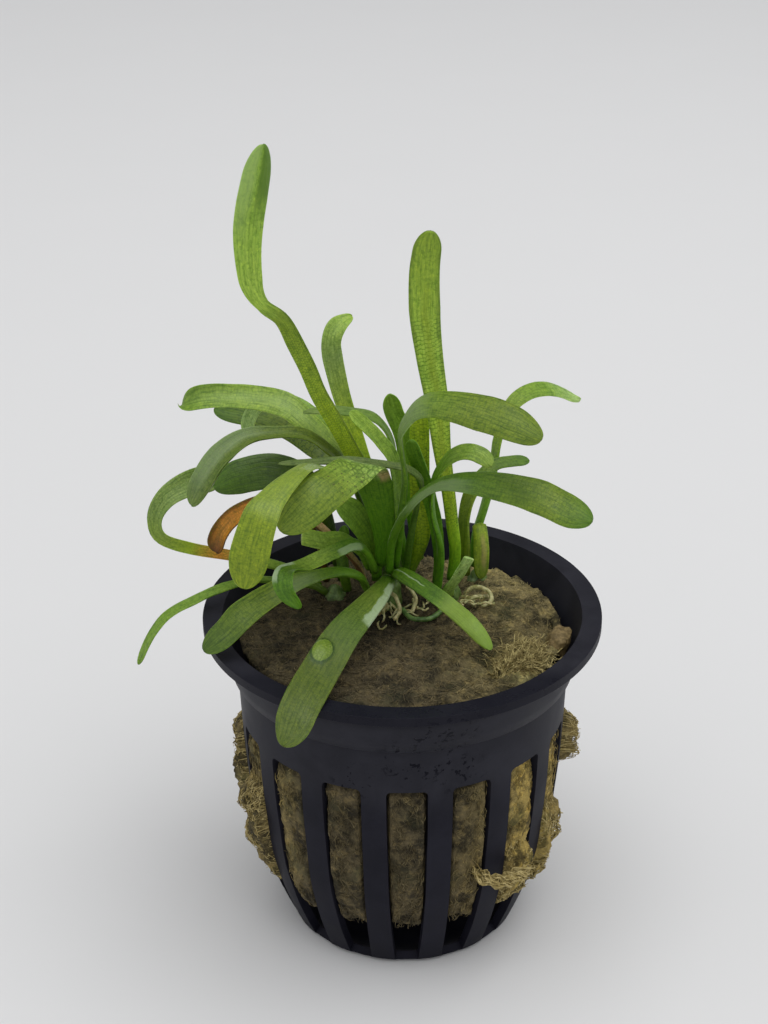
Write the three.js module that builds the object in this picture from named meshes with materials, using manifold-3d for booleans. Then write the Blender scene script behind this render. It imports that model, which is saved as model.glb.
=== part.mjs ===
// Potted dwarf sagittaria: a tuft of strap-shaped leaves in a slotted net pot packed with mineral wool.
// Millimetres, +Z up. The origin is the centre of the flat underside of the pot, and -Y is the front.
import * as THREE from "three";
import { mergeVertices } from "three/addons/utils/BufferGeometryUtils.js";
import Module from "manifold-3d";

const wasm = await Module();
wasm.setup();

// Driving dimensions
const GAP = 0.35; // clear space kept between pieces that rest on each other
const POT_HEIGHT = 48.5;
const RIM_RADIUS = 27.5;
const RIM_WIDTH = 2.9;
const RIM_THICKNESS = 1.2;
const WALL = 1.25;
const BASE_RADIUS = 16.2;
const BASE_THICKNESS = 1.0;
const COLLAR_HEIGHT = 41.2; // where the wall steps out below the rim
const SLOT_COUNT = 16;
const SLOT_TURN = 1.3; // degrees that the front slot sits to the right of straight ahead
const SLOT_TOP = 33.8;
const SLOT_BOTTOM = 1.1;
const RIB_WIDTH = 3.4;
const SLOT_CORNER = 0.8;
const POT_SIDES = 48;

const WOOL_BOTTOM = 6.4;
const WOOL_FOOT_RADIUS = 17.4;
const WOOL_RADIUS = 23; // at the edge of its surface
const WOOL_EDGE_DROP = 0.4; // the edge lies this much below the rest of the surface
const WOOL_RINGS = [22.2, 18, 13.5, 9, 4.5, 0]; // radii at which the surface can rise and fall
const WOOL_LEVEL = 45.5; // height of the wool's surface at the middle of the pot
const WOOL_SLOPE = -0.055; // the surface rises towards the front
const WOOL_SIDES = 30;
const TUFT_ROOT = 2; // how far inside the wall a tuft has its middle

const LEAF_SIDES = 6;
const LEAF_STEP = 4.1; // length of one step along a leaf
const TIP_CROWDING = 1.4; // how much the steps shorten towards the tip
const STALK_THICKNESS = 1.1;
const BLADE_THICKNESS = 0.75;
const STALK_END = 0.1; // share of a leaf's length where its stalk starts to flatten
const BLADE_START = 0.6; // and where it's as thin as the blade
const SHORTEST_LEAF_STEPS = 6;
const LONGEST_LEAF_STEPS = 14;
const TIP_SHARE = 0.9; // length of a leaf's rounded end as a share of its width
const TIP_ROUNDING = 0.94; // 1 would round the end off to a point
const CUT_SHARE = 0.02; // share of a leaf's length that a cut end takes up

// Outside of the pot from the base to the collar, as radius and height
const OUTSIDE = [
  [BASE_RADIUS, 0],
  [17, 0.8],
  [19.4, 7],
  [21.5, 15],
  [22.6, 27],
  [23.1, COLLAR_HEIGHT - 0.4],
  [24, COLLAR_HEIGHT],
  [25.9, POT_HEIGHT - RIM_THICKNESS - 0.1],
];

const INSIDE_STEPS = [2, 3, 5, 7]; // points of the outside that the inside wall follows

// Plantlets: where each crown stands in the wool, the height of its top and the radius of its foot
const CROWNS = {
  front: { at: [-2, 7], top: 49.8, radius: 2.0 },
  middle: { at: [-1.5, 12.8], top: 48.8, radius: 1.6 },
  back: { at: [0.5, 18.2], top: 48, radius: 1.5 },
  right: { at: [7, 9], top: 47.6, radius: 1.5 },
  right_back: { at: [11, 14], top: 47, radius: 1.4 },
  left: { at: [-9.6, 9.4], top: 47, radius: 1.5 },
};
const CROWN_FOOT = 41; // how deep a crown stands in the wool
const CROWN_SHOULDER = 44; // height at which a crown is widest
const CROWN_SIDES = 8;

// Lumps and hollows of the wool's surface: place, reach and rise
const WOOL_LUMPS = [
  { at: [16.5, -9], reach: 3.8, rise: 1.6 },
  { at: [22, -4.5], reach: 2.6, rise: 1.2 },
  { at: [11.8, -9.8], reach: 2.2, rise: -1.3 },
  { at: [20.5, 2], reach: 2.8, rise: -2.4 },
  { at: [-9, -9], reach: 6, rise: 0.7 },
  { at: [3, -14], reach: 5, rise: 0.6 },
  { at: [-1, 2], reach: 4.5, rise: -0.9 },
  { at: [12, 12], reach: 5, rise: 0.5 },
];

// Wool pushed out through slots: the slot's number counted round from the front one to the right,
// the heights that the tuft spans and how far it stands out of the wall
const WOOL_TUFTS = [
  { slot: 4, from: 24, to: 31, out: 2.2 },
  { slot: 3, from: 7.5, to: 21, out: 1.3 },
  { slot: 2, from: 9, to: 19, out: 0.9 },
  { slot: -3, from: 9, to: 26, out: 1.6 },
  { slot: -4, from: 16, to: 31, out: 1.8 },
];

// Twisted strand of wool that crosses a rib at the right of the front
const STRAND = [
  [9.5, -18.6, 18.5],
  [10.6, -20.7, 18.4],
  [12.9, -20.6, 17.4],
  [15.4, -18.4, 16.6],
  [17.4, -16.2, 16.2],
  [16.4, -14.4, 16.4],
];
const STRAND_RADIUS = 1.0;

// Leaves. The midrib runs from the crown to the tip, the widths are spread evenly along it, and
// across is the way from the midrib to the right edge, seen from above, spread along it as well.
const LEAVES = [
  {
    name: "leaf_front_long",
    midrib: [[-1.8, 4.4, 50.6], [-3.6, -2.4, 51.6], [-7.6, -11.5, 51.5], [-10.6, -19.5, 50.5],
      [-12.8, -25.6, 49.3], [-13.9, -28.5, 47.5], [-14.9, -30, 46.1]],
    widths: [2.1, 3.5, 4.5, 5, 5.1, 4.7],
    across: [[-0.8, 0.3, 0.2], [-0.8, 0.35, 0.35]],
    color: 0x5c8a34,
  },
  {
    name: "leaf_front_right",
    midrib: [[-1, 5.7, 50.7], [0, 2.1, 52.7], [3.9, -2.5, 52.4], [7, -5.5, 51.4], [9.5, -8.5, 50.4],
      [11.9, -10.5, 48.1]],
    widths: [1.4, 2.3, 2.5, 2.5, 2.1],
    across: [[-0.6, -0.5, -0.4], [-0.6, -0.5, -0.5]],
    color: 0x648f3a,
  },
  {
    name: "leaf_arch_lower",
    midrib: [[-1.8, 5.2, 51.5], [-1.2, 1.8, 58.5], [1, -2.5, 65.5], [4.5, -5.4, 70.1], [9.1, -8.4, 72.1],
      [16.4, -11.7, 72.1], [21.8, -14.1, 70.4], [24, -15, 69.6]],
    widths: [1.4, 1.5, 1.6, 1.8, 3.8, 5, 4.7],
    across: [[0.3, -1, 0], [0, -0.85, -0.4], [0, -0.75, -0.65]],
    color: 0x5f8a36,
  },
  {
    name: "leaf_low_small",
    midrib: [[-3.8, 5.3, 51.6], [-4.8, 3, 55.5], [-6.4, 1, 58], [-9.5, -2.5, 58.5], [-13, -6, 58.5],
      [-15.1, -9.2, 59.5], [-15.4, -11, 58.7], [-14.8, -11.4, 57.2], [-13.3, -11.5, 55.2]],
    widths: [1.4, 1.8, 2.1, 2.1, 2.4, 3, 2.4],
    across: [[-0.5, 0.6, 0.5], [-0.5, 0.6, 0.5], [-0.9, 0.15, -0.4]],
    color: 0x6d9a3c,
  },
  {
    name: "leaf_low_broad",
    midrib: [[-4.8, 5.2, 48.4], [-6, 2, 52.5], [-9, -0.5, 54.5], [-13.3, -4.1, 55.3], [-17.2, -7.1, 54.8],
      [-20.9, -10.2, 53.6], [-23.3, -12.1, 51.8], [-26.1, -13.6, 49.9]],
    widths: [1.5, 1.5, 1.8, 3.3, 4, 3.6],
    across: [[-0.5, 0.65, 0.5], [-0.5, 0.65, 0.5]],
    color: 0x5a8632,
  },
  {
    name: "leaf_cut_stub",
    midrib: [[-4.7, 7, 51.2], [-6, 5.8, 54.6], [-8, 4, 57], [-10.5, 2, 58], [-13.6, 1.1, 59.2]],
    widths: [1.5, 2.4, 2.8, 2.6],
    across: [[-0.3, 0.6, 0.6], [-0.3, 0.6, 0.7]],
    cut: true,
    color: 0x6f9a48,
  },
  {
    name: "leaf_broad_short",
    midrib: [[-4.2, 8.7, 50.8], [-4.7, 7.6, 55.5], [-5.8, 6.6, 58.5], [-7, 6, 60.5], [-9, 5.5, 62.5]],
    widths: [1.5, 3.2, 3.8, 3.4],
    across: [[0.6, 0.6, 0.3], [0.4, 0.45, 0.75]],
    color: 0x567f3a,
  },
  {
    name: "leaf_folded",
    midrib: [[-2.9, 6.3, 52], [-2.5, 5, 57.5], [-3, 3.5, 62.5], [-4, 1.5, 68], [-5, -1, 71],
      [-7.5, -4.5, 71.1], [-10.5, -8.5, 70.5], [-15.6, -12.2, 67.1]],
    widths: [1.6, 3.4, 5, 5.6, 5.8, 5.6],
    across: [[-1, 0.1, 0], [-1, 0.1, 0.1], [-0.6, 0.35, 0.7]],
    color: 0x6f8f3c,
  },
  {
    name: "leaf_arch_upper",
    midrib: [[-0.9, 6.6, 51.6], [-0.3, 4.6, 57], [0, 3, 62], [0.5, 1.5, 67.5], [0, 0, 72.5], [0, -2, 76.5],
      [2, -4, 80.5], [5, -6, 82], [10, -9.2, 82.2], [14, -11.6, 81.7], [17.5, -13, 80.1]],
    widths: [1.4, 1.6, 1.8, 2.3, 3.9, 5.2, 4.6],
    across: [[0.2, -1, 0], [0, -0.9, -0.3], [0, -0.75, -0.65]],
    color: 0x5c8836,
  },
  {
    name: "leaf_bright",
    midrib: [[-1.9, 8.6, 51.6], [-2.5, 8.2, 57], [-4.8, 6, 63], [-8.7, 1.2, 68.6], [-11.6, -4.3, 72.4],
      [-13.6, -9, 73.4], [-16, -13.6, 72.9], [-17.5, -16.5, 71.6], [-18.9, -18.5, 67.4], [-19.9, -19, 62.5]],
    widths: [1.3, 1.4, 1.5, 1.7, 1.8, 2, 2.4, 3.2, 4.6, 5.1, 4.9],
    across: [[-0.8, 0.6, 0], [-0.8, 0.6, 0], [-0.95, 0.3, 0.1], [-1, 0.1, 0.1]],
    color: 0x78a53a,
  },
  {
    name: "leaf_tall_left",
    midrib: [[-3.6, 11, 47], [-3.8, 10.8, 55.5], [-5.2, 8.5, 64.5], [-7.1, 7, 69.7], [-9, 5.5, 74.5],
      [-10.9, 4, 79], [-12.2, 3.2, 83], [-13.6, 2.5, 86.6], [-15.2, 1.5, 90.5], [-17.4, 0.9, 92.6],
      [-18.7, 0.3, 95.2], [-19.1, 0, 99], [-18.9, 0, 103.5], [-17.8, 0, 109], [-16.6, 0.2, 114]],
    widths: [1.7, 1.8, 1.9, 2, 2.1, 2.2, 2.3, 2.3, 2.3, 2.3, 2.3, 2.3, 2.3, 2, 1.8, 3.1, 3.5, 3.9, 3.9, 3.6,
      3.2],
    across: [[0.7, 0.6, 0.3], [0.95, 0.3, 0.1], [1, 0.2, 0]],
    color: 0x5a8a34,
  },
  {
    name: "leaf_upper_left",
    midrib: [[-3.2, 14.5, 47], [-3.2, 13.6, 54], [-5.3, 12.5, 61.6], [-7.7, 12.2, 65.5], [-9.9, 12.3, 68.1],
      [-13.4, 13.3, 71.1], [-16.3, 14.4, 73], [-21.1, 15.5, 73.6], [-26.5, 16.2, 73.4], [-31.4, 16.2, 72.6]],
    widths: [1.5, 2.2, 2.8, 3, 3.9, 3.5, 3.7],
    across: [[0.6, 0.7, 0.3], [0.2, 0.7, 0.6], [0, 0.7, 0.7]],
    color: 0x8aa850,
  },
  {
    name: "leaf_dark_arch",
    midrib: [[-4.1, 12.9, 47.2], [-4.9, 11.2, 56.5], [-7.5, 9.5, 65], [-10.5, 8.5, 69], [-13.5, 6.9, 71.7],
      [-17.6, 5.3, 72.6], [-20.9, 3.3, 72.7], [-24, 1, 71], [-26, -1, 68.5], [-28, -2, 65.5]],
    widths: [1.4, 1.6, 1.8, 2, 2.4, 4.2, 4.2],
    across: [[0.3, 0.9, 0.2], [0, 0.9, 0.4], [-0.75, 0.65, 0]],
    color: 0x466636,
  },
  {
    name: "leaf_thin_arch",
    midrib: [[0.6, 13.8, 47.2], [-0.4, 12.2, 56.5], [-0.8, 11, 64.5], [-1.5, 10, 69.5], [-3.5, 9.5, 73],
      [-7, 9.5, 74], [-10.5, 10, 74], [-13.5, 10.5, 73.5]],
    widths: [1.3, 1.5, 2.2, 2.4, 2.2],
    across: [[0.2, 1, 0], [0, 1, 0.1]],
    color: 0x44622c,
  },
  {
    name: "leaf_slanting",
    midrib: [[-1.7, 10.2, 47.2], [-0.6, 9.4, 57.5], [-1, 8.4, 66.5], [-3, 7.8, 70.5], [-5, 7.4, 73],
      [-7, 7.2, 75]],
    widths: [1.3, 1.6, 2.2, 2.2, 2],
    across: [[0.6, 0.8, 0.1], [0.5, 0.6, 0.4]],
    color: 0x678c40,
  },
  {
    name: "leaf_edge_on",
    midrib: [[0.4, 10.9, 47.2], [1.2, 8, 55], [2.2, 6, 61.5], [2.8, 4.4, 65.6], [1.2, 3.4, 68],
      [-1.5, 2.9, 69], [-7, 2.4, 70], [-12, 2, 70], [-16.5, 1.6, 70]],
    widths: [1.2, 1.2, 1.2, 1.3, 1.3, 1.1],
    across: [[0, 0.9, 0.4], [0, 0.9, 0.4]],
    color: 0x4f7532,
  },
  {
    name: "leaf_ladder",
    midrib: [[1.1, 12.2, 47.2], [2.9, 10.4, 54], [2.6, 9.8, 60.5], [2.5, 9.2, 66], [2.5, 8.6, 71],
      [2.5, 8, 75.5]],
    widths: [1.4, 2.2, 2.8, 2.8, 2.6],
    across: [[1, 0.2, 0], [1, 0, 0]],
    color: 0x6e8c3a,
  },
  {
    name: "leaf_back_left",
    midrib: [[0.2, 20.6, 46.8], [-1.9, 20.4, 52], [-5, 20.9, 59.9], [-6.5, 21.9, 64.3], [-7.9, 23, 68.1],
      [-8.9, 24, 71.4], [-9.9, 25.5, 75.9], [-9.9, 26.3, 78.1], [-9, 27.7, 79.5], [-7, 29.6, 80.2]],
    widths: [1.4, 1.8, 2.1, 2.5, 3.1, 2.6],
    across: [[1, 0.3, 0], [1, 0.2, 0]],
    color: 0x7da83c,
  },
  {
    name: "leaf_under_left",
    midrib: [[-1.9, 18, 46.8], [-2.6, 18.2, 51], [-8, 18.5, 61], [-12.5, 19, 64], [-16.5, 19.5, 67],
      [-21.6, 19.9, 68.8], [-26.8, 20.3, 69.7]],
    widths: [1.4, 2.4, 3.4, 3.8, 3.4],
    across: [[0.5, 0.8, 0.3], [0.2, 0.8, 0.6]],
    color: 0x54742c,
  },
  {
    name: "leaf_hanging_tip",
    midrib: [[-0.9, 16, 46.8], [-3, 16, 52.5], [-7, 16.3, 64], [-11.5, 17, 70], [-15.6, 17.3, 72.5],
      [-18.9, 17.2, 72.4], [-21, 17, 70.5], [-22, 16.5, 67.5]],
    widths: [1.3, 1.6, 1.8, 2, 2.4, 2.2],
    across: [[0.3, 0.9, 0.3], [0, 0.9, 0.4], [-0.9, 0.5, 0.1]],
    color: 0x96b468,
  },
  {
    name: "leaf_small_upright",
    midrib: [[2.6, 17.4, 46.8], [1.5, 17.2, 54], [0.9, 16.5, 61.5], [0.4, 15.5, 67.5], [-1, 15, 71.5],
      [-1.6, 14.5, 74.5]],
    widths: [1.3, 1.6, 2.2, 2.8, 2.6],
    across: [[1, 0.1, 0.2], [1, 0.1, 0.2]],
    color: 0x4f7a30,
  },
  {
    name: "leaf_tall_right",
    midrib: [[7.2, 11.3, 46.8], [7.6, 9.9, 52], [7.1, 9, 57], [6.5, 8, 62.5], [5.6, 7.5, 69], [4.9, 7, 76],
      [3.9, 6, 83], [3.2, 5, 89.6], [3.1, 4, 96], [3.8, 3.2, 101.8]],
    widths: [1.6, 1.7, 1.8, 1.9, 2.4, 3, 3.35, 3.75, 4.2, 4, 3.5],
    across: [[1, 0.1, 0.1], [1, 0.1, 0.1]],
    color: 0x6a9a3a,
  },
  {
    name: "leaf_curled",
    midrib: [[5, 7.8, 46.8], [5.4, 6.6, 54], [4.3, 5, 60.5], [4.3, 3.5, 65.5], [5.6, 1.9, 69.5],
      [7.3, 0.4, 71.8], [9.1, -0.8, 72.7], [10.8, -1.6, 72.3], [11.8, -2.5, 71.3]],
    widths: [1.4, 1.5, 1.6, 2.4, 2.8, 2.4],
    across: [[0.6, -0.8, 0.1], [0.2, -0.9, -0.1], [-0.3, -0.7, -0.6]],
    color: 0x76a050,
  },
  {
    name: "leaf_right_stub",
    midrib: [[6.5, 6.5, 46.8], [6.6, 5.4, 48.4], [7.8, 4.4, 51], [9.3, 3.7, 54.3]],
    widths: [1.8, 1.7, 1.5],
    across: [[0.9, 0.3, -0.2], [0.9, 0.3, -0.2]],
    cut: true,
    color: 0x88a860,
  },
  {
    name: "leaf_dark_upright",
    midrib: [[5, 10.4, 46.8], [5.3, 9.8, 51], [4.8, 8.9, 57], [3.8, 7.6, 62], [2.8, 6.4, 66],
      [1.8, 5.2, 69.5], [1.2, 4.6, 72]],
    widths: [1.3, 1.8, 2.2, 2],
    across: [[0.9, -0.2, 0.3], [0.9, -0.2, 0.3]],
    color: 0x3f5f26,
  },
  {
    name: "leaf_back_right",
    midrib: [[10.6, 15.4, 46.6], [10.7, 16.2, 50.9], [11.9, 17.2, 55], [13.2, 19, 59.4], [14, 21, 64.1],
      [15.5, 23, 67.9], [18.2, 26, 69.4], [22.1, 29, 68.9], [26.9, 31.9, 65.8]],
    widths: [1.4, 1.6, 1.8, 1.9, 2.6, 2.8, 2.2],
    across: [[0.3, -0.95, 0], [0.3, -0.9, -0.3], [0.4, -0.7, -0.5]],
    color: 0x5c8534,
  },
  {
    name: "leaf_right_hanging",
    midrib: [[11.5, 12.7, 46.6], [11.4, 13.3, 50.6], [11.1, 14, 53.4], [11.1, 13.2, 54.5], [11.3, 12, 53.4],
      [11.4, 11, 50.6], [11.3, 10.4, 47.2]],
    widths: [1.3, 1.5, 2, 2.3, 2],
    across: [[1, 0.2, 0], [1, 0.1, 0.1], [1, 0, 0]],
    color: 0x6a8f30,
  },
  {
    name: "leaf_small_right",
    midrib: [[9.2, 12.8, 46.8], [9, 12.2, 51], [9, 13, 56], [10.3, 14.2, 60], [13, 16, 62.5],
      [15.7, 16.9, 62.8], [18.4, 17.6, 62.6]],
    widths: [1.5, 2.3, 2.4, 1.9, 1.7],
    across: [[0.8, -0.5, 0], [0.3, -0.8, -0.4], [0, -0.8, -0.6]],
    color: 0x7f9632,
  },
  {
    name: "leaf_looped",
    midrib: [[-11.9, 9.2, 46.8], [-13.5, 9, 48.5], [-18, 8, 51], [-23.5, 7, 53], [-29.5, 6.1, 54.8],
      [-33.5, 5.7, 56.8], [-34.2, 6.2, 59.5], [-32.8, 7, 62], [-30.3, 9, 63], [-27.5, 11, 63],
      [-25.4, 12.5, 62.5]],
    widths: [1.3, 1.4, 1.5, 1.7, 2.1, 3.5, 4.5],
    across: [[0, 0.6, 0.8], [0, 0.5, 0.9], [0.6, 0.2, 0.6], [0.7, -0.3, -0.5], [0.2, -0.5, -0.8]],
    color: 0x6f8f5a,
  },
  {
    name: "leaf_dark_broad",
    midrib: [[-8.6, 11.4, 46.8], [-9.3, 10.8, 50.5], [-11, 10.2, 58], [-13.5, 9.5, 63], [-17.5, 8.5, 65.5],
      [-22.5, 8, 65], [-26, 7.5, 63.5]],
    widths: [1.4, 2.2, 3.6, 4.9, 5.2, 4.7],
    across: [[0.6, 0.7, 0.3], [0.2, 0.7, 0.6], [0, 0.6, 0.8]],
    color: 0x3e5e24,
  },
  {
    name: "leaf_dead",
    midrib: [[-10.9, 11.2, 46.8], [-11.6, 9.4, 53.5], [-13.3, 7.5, 59.5], [-16, 6, 61.6], [-19.2, 4.9, 62.1],
      [-22.6, 3.8, 60.8], [-24.6, 3.3, 58.6], [-25.6, 2.9, 55.8]],
    widths: [1.3, 1.5, 1.6, 2.2, 2.9, 3],
    across: [[-0.1, 0.8, 0.5], [-0.1, 0.8, 0.5], [-0.7, 0.5, 0.3]],
    color: 0x9a6a34,
  },
  {
    name: "leaf_far_left",
    midrib: [[-10.8, 7.2, 46.9], [-12.5, 7, 48.2], [-16, 6, 49.4], [-20.6, 4.2, 50.7], [-25, 1.2, 51],
      [-28.6, -0.8, 50.3], [-32.2, -1.9, 48.7], [-34.5, -3, 46], [-36.5, -4, 42]],
    widths: [1.3, 1.3, 1.4, 1.6, 1.9, 1.7],
    across: [[-0.4, 0.9, 0.1], [-0.4, 0.9, 0.1]],
    color: 0x557c3a,
  },
  {
    name: "leaf_short_dark",
    midrib: [[-7.8, 8.2, 46.8], [-8.2, 7.4, 50], [-8.4, 7.6, 53.5], [-8, 8.6, 57]],
    widths: [1.3, 1.7, 1.6],
    across: [[1, 0, 0], [1, 0, 0]],
    color: 0x3a5526,
  },
  {
    name: "dead_stalk",
    midrib: [[-5.3, 8.9, 47], [-6.2, 7.7, 51], [-7.8, 6.6, 54], [-9.6, 5.8, 56.5], [-12, 5, 59.5]],
    widths: [1.2, 1.4, 1.4],
    across: [[-0.2, 0.6, 0.7], [-0.2, 0.6, 0.7]],
    cut: true,
    color: 0xb49a78,
  },
];

// Thin round stems and roots: the line that each follows and its radius
const ROOTS = [
  {
    name: "root_front_left",
    line: [[-4.6, 4, 45.9], [-4.4, 3.2, 47.4], [-3.4, 3, 48.2], [-2.4, 3.2, 47.6], [-2.6, 2.6, 46]],
    radius: 0.35,
  },
  {
    name: "root_front",
    line: [[-1.6, 4.2, 48.6], [-0.8, 3.2, 48.2], [-0.4, 2.4, 46.8], [-1, 1.4, 45.6]],
    radius: 0.35,
  },
  {
    name: "root_front_right",
    line: [[0.6, 6.2, 48.6], [1.6, 5.4, 48], [1.9, 4.6, 46.8], [1.4, 3.8, 45.6]],
    radius: 0.35,
  },
  {
    name: "root_right_loop",
    line: [[8.8, 7.8, 46.2], [10.2, 7.4, 47.6], [12.2, 6.6, 47.4], [12.6, 5.4, 46.3], [11.2, 4.8, 45.9]],
    radius: 0.4,
  },
  {
    name: "root_right_low",
    line: [[8.4, 6.6, 46.3], [9.8, 5.6, 46.9], [11, 6, 46.8], [12.4, 7.4, 46]],
    radius: 0.4,
  },
  {
    name: "runner",
    line: [[-0.2, 4.4, 46], [1.2, 2.2, 45.7], [3.6, 1.8, 45.7], [5.4, 3.6, 45.9], [5.6, 6.2, 46]],
    radius: 0.45,
  },
];
const ROOT_SIDES = 6;
const ROOT_STEPS = 6;

const radians = (degrees) => (degrees * Math.PI) / 180;
const vector = ([x, y, z]) => new THREE.Vector3(x, y, z);
const finish = (color, roughness) => new THREE.MeshStandardMaterial({ color, roughness, metalness: 0 });

// The geometry with its shared vertices merged, as a solid that can be joined and cut
function solidOf(geometry) {
  const bare = geometry.clone();
  bare.deleteAttribute("normal");
  bare.deleteAttribute("uv");
  const merged = mergeVertices(bare, 1e-4);
  const vertProperties = new Float32Array(merged.attributes.position.array);
  const triVerts = new Uint32Array(merged.index.array);
  return new wasm.Manifold(new wasm.Mesh({ numProp: 3, vertProperties, triVerts }));
}

// A solid as geometry for a mesh
function geometryOf(solid) {
  const { vertProperties, triVerts } = solid.getMesh();
  const geometry = new THREE.BufferGeometry();
  geometry.setAttribute("position", new THREE.BufferAttribute(vertProperties, 3));
  geometry.setIndex(new THREE.BufferAttribute(triVerts, 1));
  geometry.computeVertexNormals();
  return geometry;
}

// A named mesh for a geometry
function piece(name, geometry, material) {
  const mesh = new THREE.Mesh(geometry, material);
  mesh.name = name;
  return mesh;
}

// A profile of radius and height pairs turned about +Z
function turned(profile, sides) {
  const points = profile.map(([radius, height]) => new THREE.Vector2(radius, height));
  return new THREE.LatheGeometry(points, sides).rotateX(Math.PI / 2);
}

// The inside wall of the pot, from its floor up to the rim
function insideOfPot() {
  const wall = INSIDE_STEPS.map((index) => [OUTSIDE[index][0] - WALL, OUTSIDE[index][1]]);
  return [[0, BASE_THICKNESS], [OUTSIDE[1][0] - WALL, BASE_THICKNESS + 0.2], ...wall];
}

// Angle of a slot in degrees about +Z, counted round to the right from the front one
const slotAngle = (number) => SLOT_TURN - 90 + (number * 360) / SLOT_COUNT;

// Half the width of a slot at a radius: the ribs keep the same width all the way down
const slotHalfWidth = (radius) => (Math.PI * radius) / SLOT_COUNT - RIB_WIDTH / 2;

// A block through the wall at one slot, narrow at the base and rounded at its upper corners
function slotCutter(number) {
  const low = slotHalfWidth(OUTSIDE[1][0]);
  const high = slotHalfWidth(outsideRadius(SLOT_TOP));
  const shape = new THREE.Shape();
  shape.moveTo(-low, SLOT_BOTTOM);
  shape.lineTo(low, SLOT_BOTTOM);
  shape.lineTo(high, SLOT_TOP - SLOT_CORNER);
  shape.quadraticCurveTo(high, SLOT_TOP, high - SLOT_CORNER, SLOT_TOP);
  shape.lineTo(SLOT_CORNER - high, SLOT_TOP);
  shape.quadraticCurveTo(-high, SLOT_TOP, -high, SLOT_TOP - SLOT_CORNER);
  const inner = BASE_RADIUS - 3;
  const depth = RIM_RADIUS - inner;
  const block = new THREE.ExtrudeGeometry(shape, { depth, bevelEnabled: false, curveSegments: 2 });
  // Outline stands up along Z and the block runs outwards along X
  block.translate(0, 0, inner).rotateX(Math.PI / 2).rotateZ(Math.PI / 2);
  return solidOf(block.rotateZ(radians(slotAngle(number))));
}

function netPot() {
  const rim = [
    [RIM_RADIUS - 0.3, POT_HEIGHT - RIM_THICKNESS],
    [RIM_RADIUS, POT_HEIGHT - RIM_THICKNESS + 0.4],
    [RIM_RADIUS, POT_HEIGHT - 0.4],
    [RIM_RADIUS - 0.4, POT_HEIGHT],
    [RIM_RADIUS - RIM_WIDTH + 0.3, POT_HEIGHT],
  ];
  const profile = [[0, 0], ...OUTSIDE, ...rim, ...insideOfPot().reverse()];
  let solid = solidOf(turned(profile, POT_SIDES));
  for (let number = 0; number < SLOT_COUNT; number += 1) {
    solid = solid.subtract(slotCutter(number));
  }
  return piece("net_pot", geometryOf(solid), finish(0x17171c, 0.45));
}

// Height of the wool's surface at a place
function woolHeight(x, y) {
  let height = WOOL_LEVEL + WOOL_SLOPE * y;
  for (const { at, reach, rise } of WOOL_LUMPS) {
    const distance = Math.hypot(x - at[0], y - at[1]);
    height += rise * Math.exp(-((distance / reach) ** 2));
  }
  return height;
}

// The plug of wool inside the wall, its top raised and lowered by the lumps
function woolBody() {
  const wall = insideOfPot().slice(3, -1).map(([radius, height]) => [radius - GAP, height]);
  const top = WOOL_RINGS.map((radius) => [radius, WOOL_LEVEL]);
  const edge = [WOOL_RADIUS, WOOL_LEVEL - WOOL_EDGE_DROP];
  const foot = [[0, WOOL_BOTTOM], [WOOL_FOOT_RADIUS, WOOL_BOTTOM]];
  const geometry = turned([...foot, ...wall, edge, ...top], WOOL_SIDES);
  const { position } = geometry.attributes;
  for (let i = 0; i < position.count; i += 1) {
    const height = position.getZ(i);
    if (height < WOOL_LEVEL - WOOL_EDGE_DROP) continue;
    const surface = woolHeight(position.getX(i), position.getY(i));
    position.setZ(i, surface + height - WOOL_LEVEL);
  }
  return solidOf(geometry);
}

// Radius of the outside of the pot at a height
function outsideRadius(height) {
  const above = OUTSIDE.findIndex(([, z]) => z > height);
  const [[r0, z0], [r1, z1]] = [OUTSIDE[above - 1], OUTSIDE[above]];
  return r0 + ((r1 - r0) * (height - z0)) / (z1 - z0);
}

// A tuft of wool that fills one slot between two heights and stands out of it
function woolTuft({ slot, from, to, out }) {
  const middle = (from + to) / 2;
  const radius = outsideRadius(middle);
  const halfWidth = slotHalfWidth(outsideRadius(from)) - GAP;
  const tuft = new THREE.SphereGeometry(1, 8, 6);
  tuft.scale(TUFT_ROOT + WALL + out, halfWidth, (to - from) / 2);
  const lean = Math.atan2(outsideRadius(to) - outsideRadius(from), to - from);
  tuft.rotateY(lean).translate(radius - WALL - TUFT_ROOT, 0, middle);
  tuft.rotateZ(radians(slotAngle(slot)));
  return solidOf(tuft);
}

// A round rod that follows a line of points
function rod(line, radius, sides, steps) {
  const section = new THREE.Shape();
  section.absarc(0, 0, radius, 0, 2 * Math.PI);
  const path = new THREE.CatmullRomCurve3(line.map(vector));
  const curveSegments = sides / 2;
  return new THREE.ExtrudeGeometry(section, { extrudePath: path, steps, curveSegments, bevelEnabled: false });
}

// A crown: a short stem that stands in the wool and ends in a blunt point
function crownShape({ at, top, radius }, clearance = 0) {
  const wide = radius + clearance;
  const profile = [
    [0, CROWN_FOOT - clearance],
    [wide * 0.7, CROWN_FOOT - clearance],
    [wide, CROWN_SHOULDER],
    [wide * 0.85, top - 1.6],
    [wide * 0.5, top - 0.4],
    [0, top],
  ];
  return turned(profile, CROWN_SIDES).translate(at[0], at[1], 0);
}

function woolPlug() {
  let solid = woolBody();
  for (const tuft of WOOL_TUFTS) solid = solid.add(woolTuft(tuft));
  solid = solid.add(solidOf(rod(STRAND, STRAND_RADIUS, ROOT_SIDES, ROOT_STEPS)));
  for (const crown of Object.values(CROWNS)) solid = solid.subtract(solidOf(crownShape(crown, GAP)));
  return piece("wool_plug", geometryOf(solid), finish(0x6a5636, 1));
}

const crown = ([place, size]) => piece(`crown_${place}`, crownShape(size), finish(0x5b6a34, 0.6));

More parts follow.
